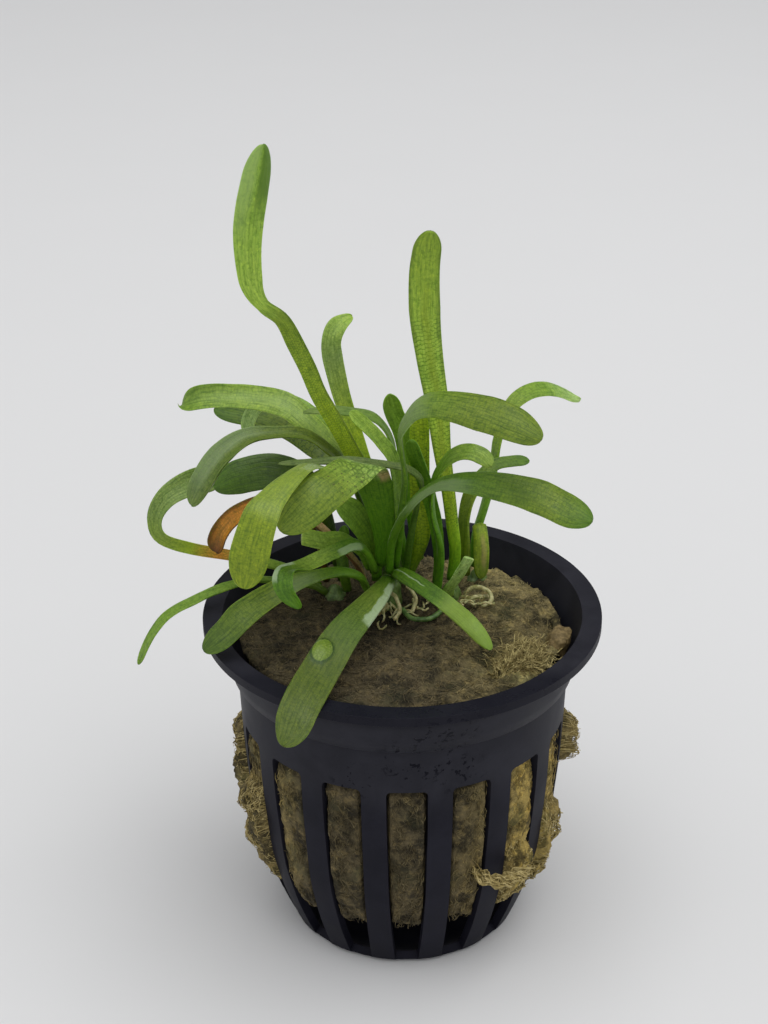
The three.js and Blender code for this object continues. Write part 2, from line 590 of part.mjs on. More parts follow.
// Value at a share of the way along a list of numbers or vectors spread evenly from 0 to 1
function along(list, share, mix) {
  const place = share * (list.length - 1);
  const index = Math.min(Math.floor(place), list.length - 2);
  return mix(list[index], list[index + 1], place - index);
}

// Half the width of a leaf at a share of its length, with its rounded or cut end
function leafHalfWidth({ widths, cut }, share, length) {
  const half = along(widths, share, THREE.MathUtils.lerp) / 2;
  const endShare = cut ? CUT_SHARE : (TIP_SHARE * widths.at(-1)) / length;
  const past = Math.max(0, (share - 1 + endShare) / endShare);
  return half * Math.sqrt(1 - TIP_ROUNDING * past ** 2);
}

// A leaf: a drum with six sides, drawn out along the midrib and flattened to the leaf's width
function leaf(shape) {
  const curve = new THREE.CatmullRomCurve3(shape.midrib.map(vector), false, "catmullrom");
  const length = curve.getLength();
  const across = shape.across.map(vector);
  const wanted = Math.round(length / LEAF_STEP);
  const steps = THREE.MathUtils.clamp(wanted, SHORTEST_LEAF_STEPS, LONGEST_LEAF_STEPS);
  const geometry = new THREE.CylinderGeometry(1, 1, 1, LEAF_SIDES, steps, false, Math.PI / 2);
  const { position } = geometry.attributes;
  for (let i = 0; i < position.count; i += 1) {
    // Stations crowd towards the tip, which is rounded
    const even = position.getY(i) + 0.5;
    const share = 1 - (1 - even) ** TIP_CROWDING;
    const middle = curve.getPointAt(share);
    const forward = curve.getTangentAt(share);
    const right = along(across, share, (a, b, t) => a.clone().lerp(b, t));
    right.addScaledVector(forward, -right.dot(forward)).normalize();
    const upper = right.clone().cross(forward);
    const flat = THREE.MathUtils.smoothstep(share, STALK_END, BLADE_START);
    const halfThickness = THREE.MathUtils.lerp(STALK_THICKNESS, BLADE_THICKNESS, flat) / 2;
    middle.addScaledVector(right, position.getX(i) * leafHalfWidth(shape, share, length));
    middle.addScaledVector(upper, position.getZ(i) * halfThickness);
    position.setXYZ(i, middle.x, middle.y, middle.z);
  }
  return piece(shape.name, geometryOf(solidOf(geometry)), finish(shape.color, 0.4));
}

function root({ name, line, radius }) {
  return piece(name, rod(line, radius, ROOT_SIDES, ROOT_STEPS), finish(0xb9a878, 0.7));
}

const plant = new THREE.Group();
plant.add(...Object.entries(CROWNS).map(crown), ...LEAVES.map(leaf), ...ROOTS.map(root));

const sagittaria = new THREE.Group();
sagittaria.add(netPot(), woolPlug(), plant);

export default sagittaria;
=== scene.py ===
"""Potted dwarf sagittaria: fine leaves, wool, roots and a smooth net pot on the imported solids.

Sizes in the data below are millimetres, in the frame of the solids: +Z up, -Y towards the front, and the
origin at the centre of the pot's flat underside. Meshes are made in metres.
"""

import bisect
import math
import random

import bmesh
import bpy
from mathutils import Matrix, Quaternion, Vector, noise


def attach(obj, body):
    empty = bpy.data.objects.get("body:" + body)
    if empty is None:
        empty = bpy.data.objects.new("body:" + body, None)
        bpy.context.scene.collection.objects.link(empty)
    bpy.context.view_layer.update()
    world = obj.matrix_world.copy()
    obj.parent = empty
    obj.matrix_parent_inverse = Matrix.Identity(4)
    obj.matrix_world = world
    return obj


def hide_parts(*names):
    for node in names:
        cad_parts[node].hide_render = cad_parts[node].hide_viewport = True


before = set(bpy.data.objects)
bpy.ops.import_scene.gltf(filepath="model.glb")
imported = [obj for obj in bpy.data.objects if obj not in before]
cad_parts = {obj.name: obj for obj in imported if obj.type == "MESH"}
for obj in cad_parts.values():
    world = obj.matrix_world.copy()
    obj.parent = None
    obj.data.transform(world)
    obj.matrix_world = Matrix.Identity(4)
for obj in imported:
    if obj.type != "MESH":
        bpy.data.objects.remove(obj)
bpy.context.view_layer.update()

bl_info = {
    "name": "Potted dwarf sagittaria",
    "version": (1, 0, 0),
    "blender": (4, 5, 0),
    "location": "3D View > Sidebar > Sagittaria",
    "description": "Builds the leaves, wool, roots and net pot of a young aquarium plant",
    "category": "Add Mesh",
}

MM = 0.001
BODY = "root"

# Net pot, as in the solids
POT_HEIGHT = 48.5
RIM_RADIUS = 27.5
WALL = 1.25
BASE_RADIUS = 16.2
SLOT_COUNT = 16
SLOT_TURN = 1.3
SLOT_TOP = 33.8
SLOT_BOTTOM = 1.1
RIB_WIDTH = 3.4
SLOT_CORNER = 0.8
EDGE_ROUNDING = 0.3
# Columns of faces across a slot and across a rib
SLOT_COLUMNS = 8
RIB_COLUMNS = 6
# Outside of the wall from the base ring to the collar, as radius and height
OUTSIDE = [(16.2, 0), (17, 0.8), (19.4, 7), (21.5, 15), (22.6, 27), (23.1, 40.8)]
COLLAR = [(24, 41.2), (25.9, 47.3)]

# Wool, as in the solids
WOOL_LEVEL = 45.5
WOOL_SLOPE = -0.055
# Gap between the wool and the inside of the wall
WOOL_GAP = 0.5
# Outline of its underside and of the shoulder between its side and its top, as radius and height
WOOL_FOOT = [(0.01, 7.2), (6, 7.0), (12, 6.8), (15.5, 6.9), (17.2, 7.6)]
WOOL_SHOULDER = [(22.9, 44.6), (22.8, 45.1), (22.5, 45.4), (22, WOOL_LEVEL)]
WOOL_COLUMNS = 320
# Lumps and hollows of its surface: place, reach and rise
WOOL_LUMPS = [
    ((16.5, -9), 3.8, 1.6),
    ((22, -4.5), 2.6, 1.2),
    ((11.8, -9.8), 2.2, -1.3),
    ((20.5, 2), 2.8, -2.4),
    ((-9, -9), 6, 0.7),
    ((3, -14), 5, 0.6),
    ((-1, 2), 4.5, -0.9),
    ((12, 12), 5, 0.5),
]
# Small pits that only the matted surface has
WOOL_PITS = [((12.7, -12.6), 1.3, -2.2)]
# How far the wool swells into the slots
WOOL_BULGE = 1.4
# Wool pushed out through slots: slot, lowest and highest point, how far it stands out
WOOL_TUFTS = [
    (4, 24, 31, 2.2),
    (3, 7.5, 21, 1.3),
    (2, 9, 19, 0.9),
    (-3, 9, 26, 1.6),
    (-4, 16, 31, 1.8),
]
# Strand of wool that crosses a rib
STRAND = [
    (9.5, -18.6, 18.5),
    (10.6, -20.7, 18.4),
    (12.9, -20.6, 17.4),
    (15.4, -18.4, 16.6),
    (17.4, -16.2, 16.2),
    (16.4, -14.4, 16.4),
]

# Heights at which every crown starts inside the wool and is widest
CROWN_BOTTOM = 42
CROWN_SHOULDER = 44
# Plantlets: place in the wool, height of the top and radius of the foot
CROWNS = {
    "front": ((-2, 7), 49.8, 2.0),
    "middle": ((-1.5, 12.8), 48.8, 1.6),
    "back": ((0.5, 18.2), 48, 1.5),
    "right": ((7, 9), 47.6, 1.5),
    "right_back": ((11, 14), 47, 1.4),
    "left": ((-9.6, 9.4), 47, 1.5),
}

# The pale tangle on the wool: its place and reach, and how many short and long fibres it has
CLUMP = ((15.6, -11.2), 4.2)
CLUMP_SHORT_FIBRES = 620
CLUMP_LONG_FIBRES = 150
STRAND_FIBRES = 130
TUFT_FIBRES_PER_MM = 42
# Radius within which fibres start on top of the wool, and the radius that none may pass
FIBRE_START_RADIUS = 22.4
FIBRE_END_RADIUS = 22.7
# The chip of compact wool: centre, size, turn about Z and lean in degrees
CHIP = ((21.2, -5.6, 46.2), (2.9, 4.6, 3.6), -20, 12)
# Shifts in space that give each axis of a wobble its own noise
WOBBLE_SHIFTS = ((0.3, 0.6, 0.4), (40.6, 0.2, 0.7), (0.5, 70.3, 0.2))
# Fine roots: place, spread and count
ROOTLET_PLACES = [((-1.6, 3.2), 1.3, 16), ((9.6, 5.6), 1.4, 10), ((2.4, 5), 0.9, 5)]
# Damp marks on the outside of the pot: centre and reach
WET_PLACES = [((1.5, -23.5, 39.5), 6.5), ((-7, -22.5, 35), 4), ((8, -22, 36), 4.5), ((6, -25, 44), 7)]

# Middle of the damp ring round the crowns
DAMP_CENTRE = (-2, 5)
# Heights between which the wool's look changes: dampness and painted shade, the look of its top and the look
# of its side
DAMP_HEIGHTS = (40, 42)
TOP_HEIGHTS = (42, 44)
SIDE_HEIGHTS = (42, 43)

# Camera: place, and its pitch down, yaw to the right and roll in degrees
CAMERA_PLACE = (0, -218.5, 175.7)
CAMERA_TURN = (27.19, -0.62, -0.6)
SENSOR_HEIGHT = 36
# Main light: its place, the point that it faces and its size, in metres, and the colour of the sky
LIGHT_PLACE = (0.12, 0, 0.9)
LIGHT_TARGET = (0, 0.05, 0.03)
LIGHT_SIZE = 0.9
SKY_COLOR = (0.98, 0.985, 1, 1)
# Half the width of the floor, in metres
FLOOR_HALF = 3

# Faces of a leaf: how their rows crowd towards the tip, the rows' spacing and fewest rows, and the columns
TIP_CROWDING = 1.4
ROW_SPACING = 0.6
FEWEST_ROWS = 30
LEAF_COLUMNS = 36
# Thickness of a stalk and of a blade, and the half width below which a leaf is thinner still
STALK_THICKNESS = 1.1
BLADE_THICKNESS = 0.45
THIN_BELOW = 0.6
# Shares of the length between which a stalk flattens into a blade
STALK_END = 0.1
BLADE_START = 0.6
# Height of the waves of a leaf's margin and of its face
MARGIN_WAVE = 0.4
FACE_WAVE = 0.1
# Width across which a blister's place is given, and the height of the blister
BLISTER_SPAN = 5.6
BLISTER_HEIGHT = 0.75
# Rungs between the veins of a leaf that has no ladder of its own
PLAIN_LADDER = (0.25, 1, 0.5, 0.6)
# Corners closer than this, in metres, are one
TOUCHING = 1e-7

# Tones of the tissue, and of painted sheen and painted highlights on it, red, green and blue out of 255
STALK = (80, 130, 20)
FRESH = (95, 140, 30)
DEEP = (65, 90, 15)
MID = (80, 115, 20)
OLIVE = (105, 125, 30)
SOFT = (110, 140, 45)
GREYED = (105, 125, 60)
PALE = (135, 160, 60)
SUNNY = (135, 155, 30)
WASHED = (155, 180, 110)
# The next two are painted light on the leaves, not tones of the tissue: a pale painted sheen and a painted
# highlight
PAINTED_SHEEN = (130, 150, 105)
GLEAM = (175, 195, 155)
RUST = (190, 130, 45)
STRAW = (180, 150, 105)
BROWN = (85, 50, 20)

# Tints of marks on the leaves, by which the colour under them is multiplied
STREAK_TINT = (0.52, 0.62, 0.4)
FLECK_TINT = (1.45, 1.32, 1.2)
SPECK_TINT = (0.55, 0.66, 0.45)
BLOTCH_TINT = (0.68, 0.76, 0.55)
VEIN_TINT = (0.35, 0.5, 0.25)
MARGIN_TINT = (1.7, 1.55, 1.9)
CELL_TINT = (0.42, 0.5, 0.25)
FINE_CELL_TINT = (0.55, 0.62, 0.4)
BLISTER_TINT = (0.55, 0.65, 0.4)
# Tints of the lower wall and the foot of the pot
WALL_TINT = (0.5, 0.5, 0.62)
FOOT_TINT = (0.5, 0.5, 0.6)
# Tints of the wool: painted shade in its small pits, its damp ring, painted shade at its left and in its deep
# pit, painted shade in its hollows and painted light on its crests, and its lighter places: painted light at
# the right and the back of its top, paler sides and a yellower front right
PAINTED_PIT_SHADE_TINT = (0.4, 0.4, 0.42)
DAMP_RING_TINT = (0.35, 0.36, 0.36)
PAINTED_SHADE_LEFT_TINT = (0.55, 0.58, 0.6)
PAINTED_SHADE_DEEP_PIT_TINT = (0.28, 0.28, 0.3)
PAINTED_HOLLOW_SHADE_TINT = (0.42, 0.43, 0.42)
PAINTED_CREST_LIGHT_TINT = (1.75, 1.68, 1.45)
PAINTED_LIGHT_RIGHT_TINT = (1.95, 2, 1.75)
PAINTED_LIGHT_BACK_TINT = (1.6, 1.65, 1.65)
PALE_SIDES_TINT = (1.95, 1.92, 1.55)
YELLOW_FRONT_RIGHT_TINT = (1.95, 1.85, 1.3)

# Colours in linear light: one, or the darkest and the lightest
SPOT_COLOR = (0.045, 0.025, 0.008)
BLISTER_FOOT = (0.02, 0.06, 0.008)
DAMP_PLASTIC = (0.002, 0.002, 0.006)
WET_RIM = (0.004, 0.004, 0.009)
SLOT_FIBRE = ((0.055, 0.042, 0.018), (0.15, 0.12, 0.056))
TUFT_FIBRE = ((0.3, 0.23, 0.075), (0.56, 0.46, 0.21))
CLUMP_FIBRE = ((0.17, 0.13, 0.04), (0.56, 0.47, 0.2))
CHIP_FELT = ((0.11, 0.078, 0.028), (0.25, 0.18, 0.075))
CROWN_TISSUE = ((0.05, 0.1, 0.015), (0.16, 0.25, 0.06))
ROOT_TISSUE = ((0.24, 0.23, 0.07), (0.55, 0.52, 0.25))
RUNNER_TISSUE = ((0.05, 0.11, 0.02), (0.14, 0.25, 0.06))

# Leaves: the midrib from the crown to the tip, the widths spread evenly along it, and the ways from the
# midrib to the right edge, seen from above. The other values, in shares of the length and the width unless
# they are said to be in millimetres, are:
# colors: places of tones along the leaf, and shade, by which they are multiplied
# patches: where each lies, its tone, strength and gloss, and how soft its edges are; some of them are painted
# highlights, painted sheen and painted shade
# ladder: start, end, spacing in millimetres and strength of the rungs between the veins
# mosaic: start, end and size in millimetres of pale cells; spots: start and end of dark spots
# blister: its place along and across, and its radii in millimetres along and across
# cup: how far the margins rise over the midrib; droop: where the right side starts to sink, and how far in
# millimetres; tip: length of the rounded end in widths; cut: the end isn't rounded
# streaks: strength of the streaks; margin: tone of a broad margin; slot: slot of the record, if not leaf
LEAVES = [
    dict(
        name="leaf_front_long",
        midrib=[(-1.8, 4.4, 50.6), (-3.6, -2.4, 51.6), (-7.6, -11.5, 51.5), (-10.6, -19.5, 50.5),
                (-12.8, -25.6, 49.3), (-13.9, -28.5, 47.5), (-14.9, -30, 46.1)],
        widths=[2.1, 3.5, 4.5, 5, 5.1, 4.7],
        across=[(-0.8, 0.3, 0.2), (-0.8, 0.35, 0.35)],
        colors=[(0, FRESH), (0.2, PALE), (0.4, SOFT), (0.6, OLIVE), (1, OLIVE)],
        shade=0.65,
        patches=[
            dict(share=(0.06, 0.36), across=(-0.1, 0.3), color=GLEAM, strength=0.75, gloss=1),
            # A pale painted sheen over the middle of the blade
            dict(share=(0.4, 0.62), across=(0, 1), color=PAINTED_SHEEN, strength=0.15, soft=0.12),
        ],
        blister=(0.585, 0.7, 2.1, 1.35),
        cup=[0.1, 0.12, 0.1, 0.05],
    ),
    dict(
        name="leaf_front_right",
        midrib=[(-1, 5.7, 50.7), (0, 2.1, 52.7), (3.9, -2.5, 52.4), (7, -5.5, 51.4), (9.5, -8.5, 50.4),
                (11.9, -10.5, 48.1)],
        widths=[1.4, 2.3, 2.5, 2.5, 2.1],
        across=[(-0.6, -0.5, -0.4), (-0.6, -0.5, -0.5)],
        colors=[(0, MID), (0.5, MID), (0.8, SOFT), (1, FRESH)],
        shade=1.1,
        patches=[
            # A pale painted sheen of a wet film over the outer part of the leaf
            dict(share=(0.56, 1.2), across=(-0.2, 1.2), color=PALE, strength=0.6, gloss=0.6, soft=0.06),
            dict(share=(0.1, 0.4), across=(0.42, 0.5), color=GLEAM, strength=0.6, gloss=1, soft=0.01),
        ],
        cup=[0.1, 0.1, -0.1],
        tip=1.6,
    ),
    dict(
        name="leaf_arch_lower",
        midrib=[(-1.8, 5.2, 51.5), (-1.2, 1.8, 58.5), (1, -2.5, 65.5), (4.5, -5.4, 70.1), (9.1, -8.4, 72.1),
                (16.4, -11.7, 72.1), (21.8, -14.1, 70.4), (24, -15, 69.6)],
        widths=[1.4, 1.5, 1.6, 1.8, 3.8, 5, 4.7],
        across=[(0.3, -1, 0), (0, -0.85, -0.4), (0, -0.75, -0.65)],
        colors=[(0, STALK), (0.3, MID), (0.6, MID), (0.88, OLIVE), (1, MID)],
        shade=1.1,
        patches=[
            dict(share=(0.14, 0.36), across=(0.42, 0.5), color=GLEAM, strength=0.6, gloss=1, soft=0.01),
            # A pale painted sheen on the lower side of the blade
            dict(share=(0.36, 0.62), across=(0.45, 1.2), color=PAINTED_SHEEN, strength=0.5, soft=0.06),
            dict(share=(0.74, 0.82), across=(0.2, 0.8), color=DEEP, strength=0.5, soft=0.05),
        ],
        cup=[0, 0, -0.12, -0.16, -0.1],
    ),
    dict(
        name="leaf_low_small",
        midrib=[(-3.8, 5.3, 51.6), (-4.8, 3, 55.5), (-6.4, 1, 58), (-9.5, -2.5, 58.5), (-13, -6, 58.5),
                (-15.1, -9.2, 59.5), (-15.4, -11, 58.7), (-14.8, -11.4, 57.2), (-13.3, -11.5, 55.2)],
        widths=[1.4, 1.8, 2.1, 2.1, 2.4, 3, 2.4],
        across=[(-0.5, 0.6, 0.5), (-0.5, 0.6, 0.5), (-0.9, 0.15, -0.4)],
        colors=[(0, FRESH), (0.4, MID), (0.55, PALE), (0.75, MID), (1, FRESH)],
        shade=1.1,
        patches=[
            dict(share=(0.26, 0.42), across=(0, 0.5), color=GLEAM, strength=0.45, gloss=1),
            dict(share=(0.68, 0.84), across=(0.78, 1.2), color=GLEAM, strength=0.7, gloss=1),
        ],
        cup=[0.1, 0.2, 0.3, 0.1],
        tip=1.5,
    ),
    dict(
        name="leaf_low_broad",
        midrib=[(-4.8, 5.2, 48.4), (-6, 2, 52.5), (-9, -0.5, 54.5), (-13.3, -4.1, 55.3), (-17.2, -7.1, 54.8),
                (-20.9, -10.2, 53.6), (-23.3, -12.1, 51.8), (-26.1, -13.6, 49.9)],
        widths=[1.5, 1.5, 1.8, 3.3, 4, 3.6],
        across=[(-0.5, 0.65, 0.5), (-0.5, 0.65, 0.5)],
        colors=[(0, FRESH), (0.3, MID), (0.6, OLIVE), (1, DEEP)],
        shade=1.2,
        # Its patch is a pale painted sheen
        patches=[dict(share=(0.42, 0.6), across=(0, 0.8), color=PAINTED_SHEEN, strength=0.5, soft=0.08)],
        streaks=1.3,
        cup=[0.1, 0.25, 0.15, 0.05],
    ),
    dict(
        name="leaf_cut_stub",
        midrib=[(-4.7, 7, 51.2), (-6, 5.8, 54.6), (-8, 4, 57), (-10.5, 2, 58), (-13.6, 1.1, 59.2)],
        widths=[1.5, 2.4, 2.8, 2.6],
        across=[(-0.3, 0.6, 0.6), (-0.3, 0.6, 0.7)],
        cut=True,
        colors=[(0, FRESH), (1, PALE)],
        shade=1.1,
    ),
    dict(
        name="leaf_broad_short",
        midrib=[(-4.2, 8.7, 50.8), (-4.7, 7.6, 55.5), (-5.8, 6.6, 58.5), (-7, 6, 60.5), (-9, 5.5, 62.5)],
        widths=[1.5, 3.2, 3.8, 3.4],
        across=[(0.6, 0.6, 0.3), (0.4, 0.45, 0.75)],
        colors=[(0, MID), (1, SOFT)],
        shade=1.6,
    ),
    dict(
        name="leaf_folded",
        midrib=[(-2.9, 6.3, 52), (-2.5, 5, 57.5), (-3, 3.5, 62.5), (-4, 1.5, 68), (-5, -1, 71),
                (-7.5, -4.5, 71.1), (-10.5, -8.5, 70.5), (-15.6, -12.2, 67.1)],
        widths=[1.6, 3.4, 5, 5.6, 5.8, 5.6],
        across=[(-1, 0.1, 0), (-1, 0.1, 0.1), (-0.6, 0.35, 0.7)],
        colors=[(0, STALK), (0.44, MID), (0.5, WASHED), (0.62, PALE), (0.75, OLIVE), (1, OLIVE)],
        shade=1.2,
        patches=[dict(share=(0.44, 0.5), across=(-0.3, 0.3), color=STRAW, strength=0.85, soft=0.03)],
        mosaic=(0.45, 0.7, 1.0),
        spots=(0.6, 0.78),
        cup=[0.3, 0.2, 0, -0.1, 0],
    ),
    dict(
        name="leaf_arch_upper",
        midrib=[(-0.9, 6.6, 51.6), (-0.3, 4.6, 57), (0, 3, 62), (0.5, 1.5, 67.5), (0, 0, 72.5), (0, -2, 76.5),
                (2, -4, 80.5), (5, -6, 82), (10, -9.2, 82.2), (14, -11.6, 81.7), (17.5, -13, 80.1)],
        widths=[1.4, 1.6, 1.8, 2.3, 3.9, 5.2, 4.6],
        across=[(0.2, -1, 0), (0, -0.9, -0.3), (0, -0.75, -0.65)],
        colors=[(0, STALK), (0.3, MID), (0.6, SOFT), (0.8, OLIVE), (1, OLIVE)],
        shade=1.1,
        patches=[
            # A pale painted sheen across the blade
            dict(share=(0.5, 0.66), across=(0.1, 1.2), color=PAINTED_SHEEN, strength=0.45, soft=0.05),
            dict(share=(0.16, 0.4), across=(0.42, 0.5), color=GLEAM, strength=0.6, gloss=1, soft=0.01),
        ],
        streaks=1.2,
        cup=[0, 0, -0.12, -0.16, -0.1],
    ),
    dict(
        name="leaf_bright",
        midrib=[(-1.9, 8.6, 51.6), (-2.5, 8.2, 57), (-4.8, 6, 63), (-8.7, 1.2, 68.6), (-11.6, -4.3, 72.4),
                (-13.6, -9, 73.4), (-16, -13.6, 72.9), (-17.5, -16.5, 71.6), (-18.9, -18.5, 67.4),
                (-19.9, -19, 62.5)],
        widths=[1.3, 1.4, 1.5, 1.7, 1.8, 2, 2.4, 3.2, 4.6, 5.1, 4.9],
        across=[(-0.8, 0.6, 0), (-0.8, 0.6, 0), (-0.95, 0.3, 0.1), (-1, 0.1, 0.1)],
        colors=[(0, STALK), (0.4, MID), (0.6, SUNNY), (1, SUNNY)],
        shade=0.9,
        patches=[
            dict(share=(0.2, 0.36), across=(0.42, 0.5), color=GLEAM, strength=0.6, gloss=1, soft=0.01),
            # A pale painted sheen of a wet film over the upper blade
            dict(share=(0.5, 0.815), across=(-0.2, 1.2), color=WASHED, strength=0.15, gloss=0.5),
            dict(share=(0.5, 0.6), across=(0, 0.6), color=GLEAM, strength=0.25, gloss=1),
        ],
        cup=[0.1, 0.1, -0.05, -0.1, 0.05],
    ),
    dict(
        name="leaf_tall_left",
        midrib=[(-3.6, 11, 47), (-3.8, 10.8, 55.5), (-5.2, 8.5, 64.5), (-7.1, 7, 69.7), (-9, 5.5, 74.5),
                (-10.9, 4, 79), (-12.2, 3.2, 83), (-13.6, 2.5, 86.6), (-15.2, 1.5, 90.5), (-17.4, 0.9, 92.6),
                (-18.7, 0.3, 95.2), (-19.1, 0, 99), (-18.9, 0, 103.5), (-17.8, 0, 109), (-16.6, 0.2, 114)],
        widths=[1.7, 1.8, 1.9, 2, 2.1, 2.2, 2.3, 2.3, 2.3, 2.3, 2.3, 2.3, 2.3, 2, 1.8, 3.1, 3.5, 3.9, 3.9,
                3.6, 3.2],
        across=[(0.7, 0.6, 0.3), (0.95, 0.3, 0.1), (1, 0.2, 0)],
        tip=1.4,
        colors=[(0, STALK), (0.3, SUNNY), (0.66, OLIVE), (0.7, PALE), (1, SOFT)],
        shade=1.5,
        patches=[
            # Painted shade on the right half near the tip, which turns away from the light at the lengthwise
            # fold
            dict(share=(0.885, 1.1), across=(0.56, 1.3), color=MID, strength=0.85, soft=0.04),
            dict(share=(0.86, 1.1), across=(-0.2, 0.4), color=WASHED, strength=0.5, soft=0.08),
            dict(share=(0.2, 0.72), across=(0.9, 1.3), color=DEEP, strength=0.6, soft=0.04),
        ],
        ladder=(0.1, 0.66, 0.43, 1.4),
        cup=[0.1, 0.1, 0.1, 0.1, 0.1, 0, -0.1, -0.4],
    ),
    dict(
        name="leaf_upper_left",
        midrib=[(-3.2, 14.5, 47), (-3.2, 13.6, 54), (-5.3, 12.5, 61.6), (-7.7, 12.2, 65.5),
                (-9.9, 12.3, 68.1), (-13.4, 13.3, 71.1), (-16.3, 14.4, 73), (-21.1, 15.5, 73.6),
                (-26.5, 16.2, 73.4), (-31.4, 16.2, 72.6)],
        widths=[1.5, 2.2, 2.8, 3, 3.9, 3.5, 3.7],
        across=[(0.6, 0.7, 0.3), (0.2, 0.7, 0.6), (0, 0.7, 0.7)],
        tip=0.6,
        colors=[(0, STALK), (0.3, OLIVE), (0.5, PALE), (0.8, PALE), (1, SOFT)],
        shade=1.1,
        patches=[dict(share=(0.56, 0.9), across=(0.3, 0.7), color=WASHED, strength=0.4, soft=0.12)],
        droop=(0.92, 1.6),
        streaks=1.3,
        cup=[0.1, 0.1, -0.1, 0.1, 0.3],
    ),
    dict(
        name="leaf_dark_arch",
        midrib=[(-4.1, 12.9, 47.2), (-4.9, 11.2, 56.5), (-7.5, 9.5, 65), (-10.5, 8.5, 69), (-13.5, 6.9, 71.7),
                (-17.6, 5.3, 72.6), (-20.9, 3.3, 72.7), (-24, 1, 71), (-26, -1, 68.5), (-28, -2, 65.5)],
        widths=[1.4, 1.6, 1.8, 2, 2.4, 4.2, 4.2],
        across=[(0.3, 0.9, 0.2), (0, 0.9, 0.4), (-0.75, 0.65, 0)],
        colors=[(0, STALK), (0.5, OLIVE), (1, GREYED)],
        shade=0.9,
        # Its patch is a pale painted sheen near the tip
        patches=[dict(share=(0.7, 0.95), across=(0.6, 1.2), color=PAINTED_SHEEN, strength=0.5, soft=0.06)],
        cup=[0.2, 0.3, 0.4, 0.45],
        slot="dark_leaf",
    ),
    dict(
        name="leaf_thin_arch",
        midrib=[(0.6, 13.8, 47.2), (-0.4, 12.2, 56.5), (-0.8, 11, 64.5), (-1.5, 10, 69.5), (-3.5, 9.5, 73),
                (-7, 9.5, 74), (-10.5, 10, 74), (-13.5, 10.5, 73.5)],
        widths=[1.3, 1.5, 2.2, 2.4, 2.2],
        across=[(0.2, 1, 0), (0, 1, 0.1)],
        colors=[(0, STALK), (0.5, MID), (1, GREYED)],
        shade=1.3,
        ladder=(0.3, 0.7, 0.5, 0.5),
        tip=2,
    ),
    dict(
        name="leaf_slanting",
        midrib=[(-1.7, 10.2, 47.2), (-0.6, 9.4, 57.5), (-1, 8.4, 66.5), (-3, 7.8, 70.5), (-5, 7.4, 73),
                (-7, 7.2, 75)],
        widths=[1.3, 1.6, 2.2, 2.2, 2],
        across=[(0.6, 0.8, 0.1), (0.5, 0.6, 0.4)],
        colors=[(0, STALK), (1, PALE)],
        shade=1.3,
        streaks=1.2,
    ),
    dict(
        name="leaf_edge_on",
        midrib=[(0.4, 10.9, 47.2), (1.2, 8, 55), (2.2, 6, 61.5), (2.8, 4.4, 65.6), (1.2, 3.4, 68),
                (-1.5, 2.9, 69), (-7, 2.4, 70), (-12, 2, 70), (-16.5, 1.6, 70)],
        widths=[1.2, 1.2, 1.2, 1.3, 1.3, 1.1],
        across=[(0, 0.9, 0.4), (0, 0.9, 0.4)],
        colors=[(0, STALK), (0.6, GREYED), (1, GREYED)],
        shade=0.9,
        tip=2,
    ),
    dict(
        name="leaf_ladder",
        midrib=[(1.1, 12.2, 47.2), (2.9, 10.4, 54), (2.6, 9.8, 60.5), (2.5, 9.2, 66), (2.5, 8.6, 71),
                (2.5, 8, 75.5)],
        widths=[1.4, 2.2, 2.8, 2.8, 2.6],
        across=[(1, 0.2, 0), (1, 0, 0)],
        colors=[(0, MID), (0.4, SUNNY), (1, SUNNY)],
        shade=1.6,
        ladder=(0.1, 1, 0.62, 1.3),
    ),
    dict(
        name="leaf_back_left",
        midrib=[(0.2, 20.6, 46.8), (-1.9, 20.4, 52), (-5, 20.9, 59.9), (-6.5, 21.9, 64.3), (-7.9, 23, 68.1),
                (-8.9, 24, 71.4), (-9.9, 25.5, 75.9), (-9.9, 26.3, 78.1), (-9, 27.7, 79.5), (-7, 29.6, 80.2)],
        widths=[1.4, 1.8, 2.1, 2.5, 3.1, 2.6],
        across=[(1, 0.3, 0), (1, 0.2, 0)],
        colors=[(0, STALK), (0.5, SUNNY), (0.8, GREYED), (1, PALE)],
        shade=1.4,
        tip=1.5,
    ),
    dict(
        name="leaf_under_left",
        midrib=[(-1.9, 18, 46.8), (-2.6, 18.2, 51), (-8, 18.5, 61), (-12.5, 19, 64), (-16.5, 19.5, 67),
                (-21.6, 19.9, 68.8), (-26.8, 20.3, 69.7)],
        widths=[1.4, 2.4, 3.4, 3.8, 3.4],
        across=[(0.5, 0.8, 0.3), (0.2, 0.8, 0.6)],
        colors=[(0, DEEP), (0.5, OLIVE), (0.72, OLIVE), (1, MID)],
        shade=1,
        ladder=(0.42, 0.76, 0.85, 1.6),
    ),
    dict(
        name="leaf_hanging_tip",
        midrib=[(-0.9, 16, 46.8), (-3, 16, 52.5), (-7, 16.3, 64), (-11.5, 17, 70), (-15.6, 17.3, 72.5),
                (-18.9, 17.2, 72.4), (-21, 17, 70.5), (-22, 16.5, 67.5)],
        widths=[1.3, 1.6, 1.8, 2, 2.4, 2.2],
        across=[(0.3, 0.9, 0.3), (0, 0.9, 0.4), (-0.9, 0.5, 0.1)],
        colors=[(0, MID), (0.6, SOFT), (1, WASHED)],
        shade=1.3,
    ),
    dict(
        name="leaf_small_upright",
        midrib=[(2.6, 17.4, 46.8), (1.5, 17.2, 54), (0.9, 16.5, 61.5), (0.4, 15.5, 67.5), (-1, 15, 71.5),
                (-1.6, 14.5, 74.5)],
        widths=[1.3, 1.6, 2.2, 2.8, 2.6],
        across=[(1, 0.1, 0.2), (1, 0.1, 0.2)],
        colors=[(0, STALK), (1, SOFT)],
        shade=1.5,
        ladder=(0.3, 1, 0.5, 0.5),
    ),
    dict(
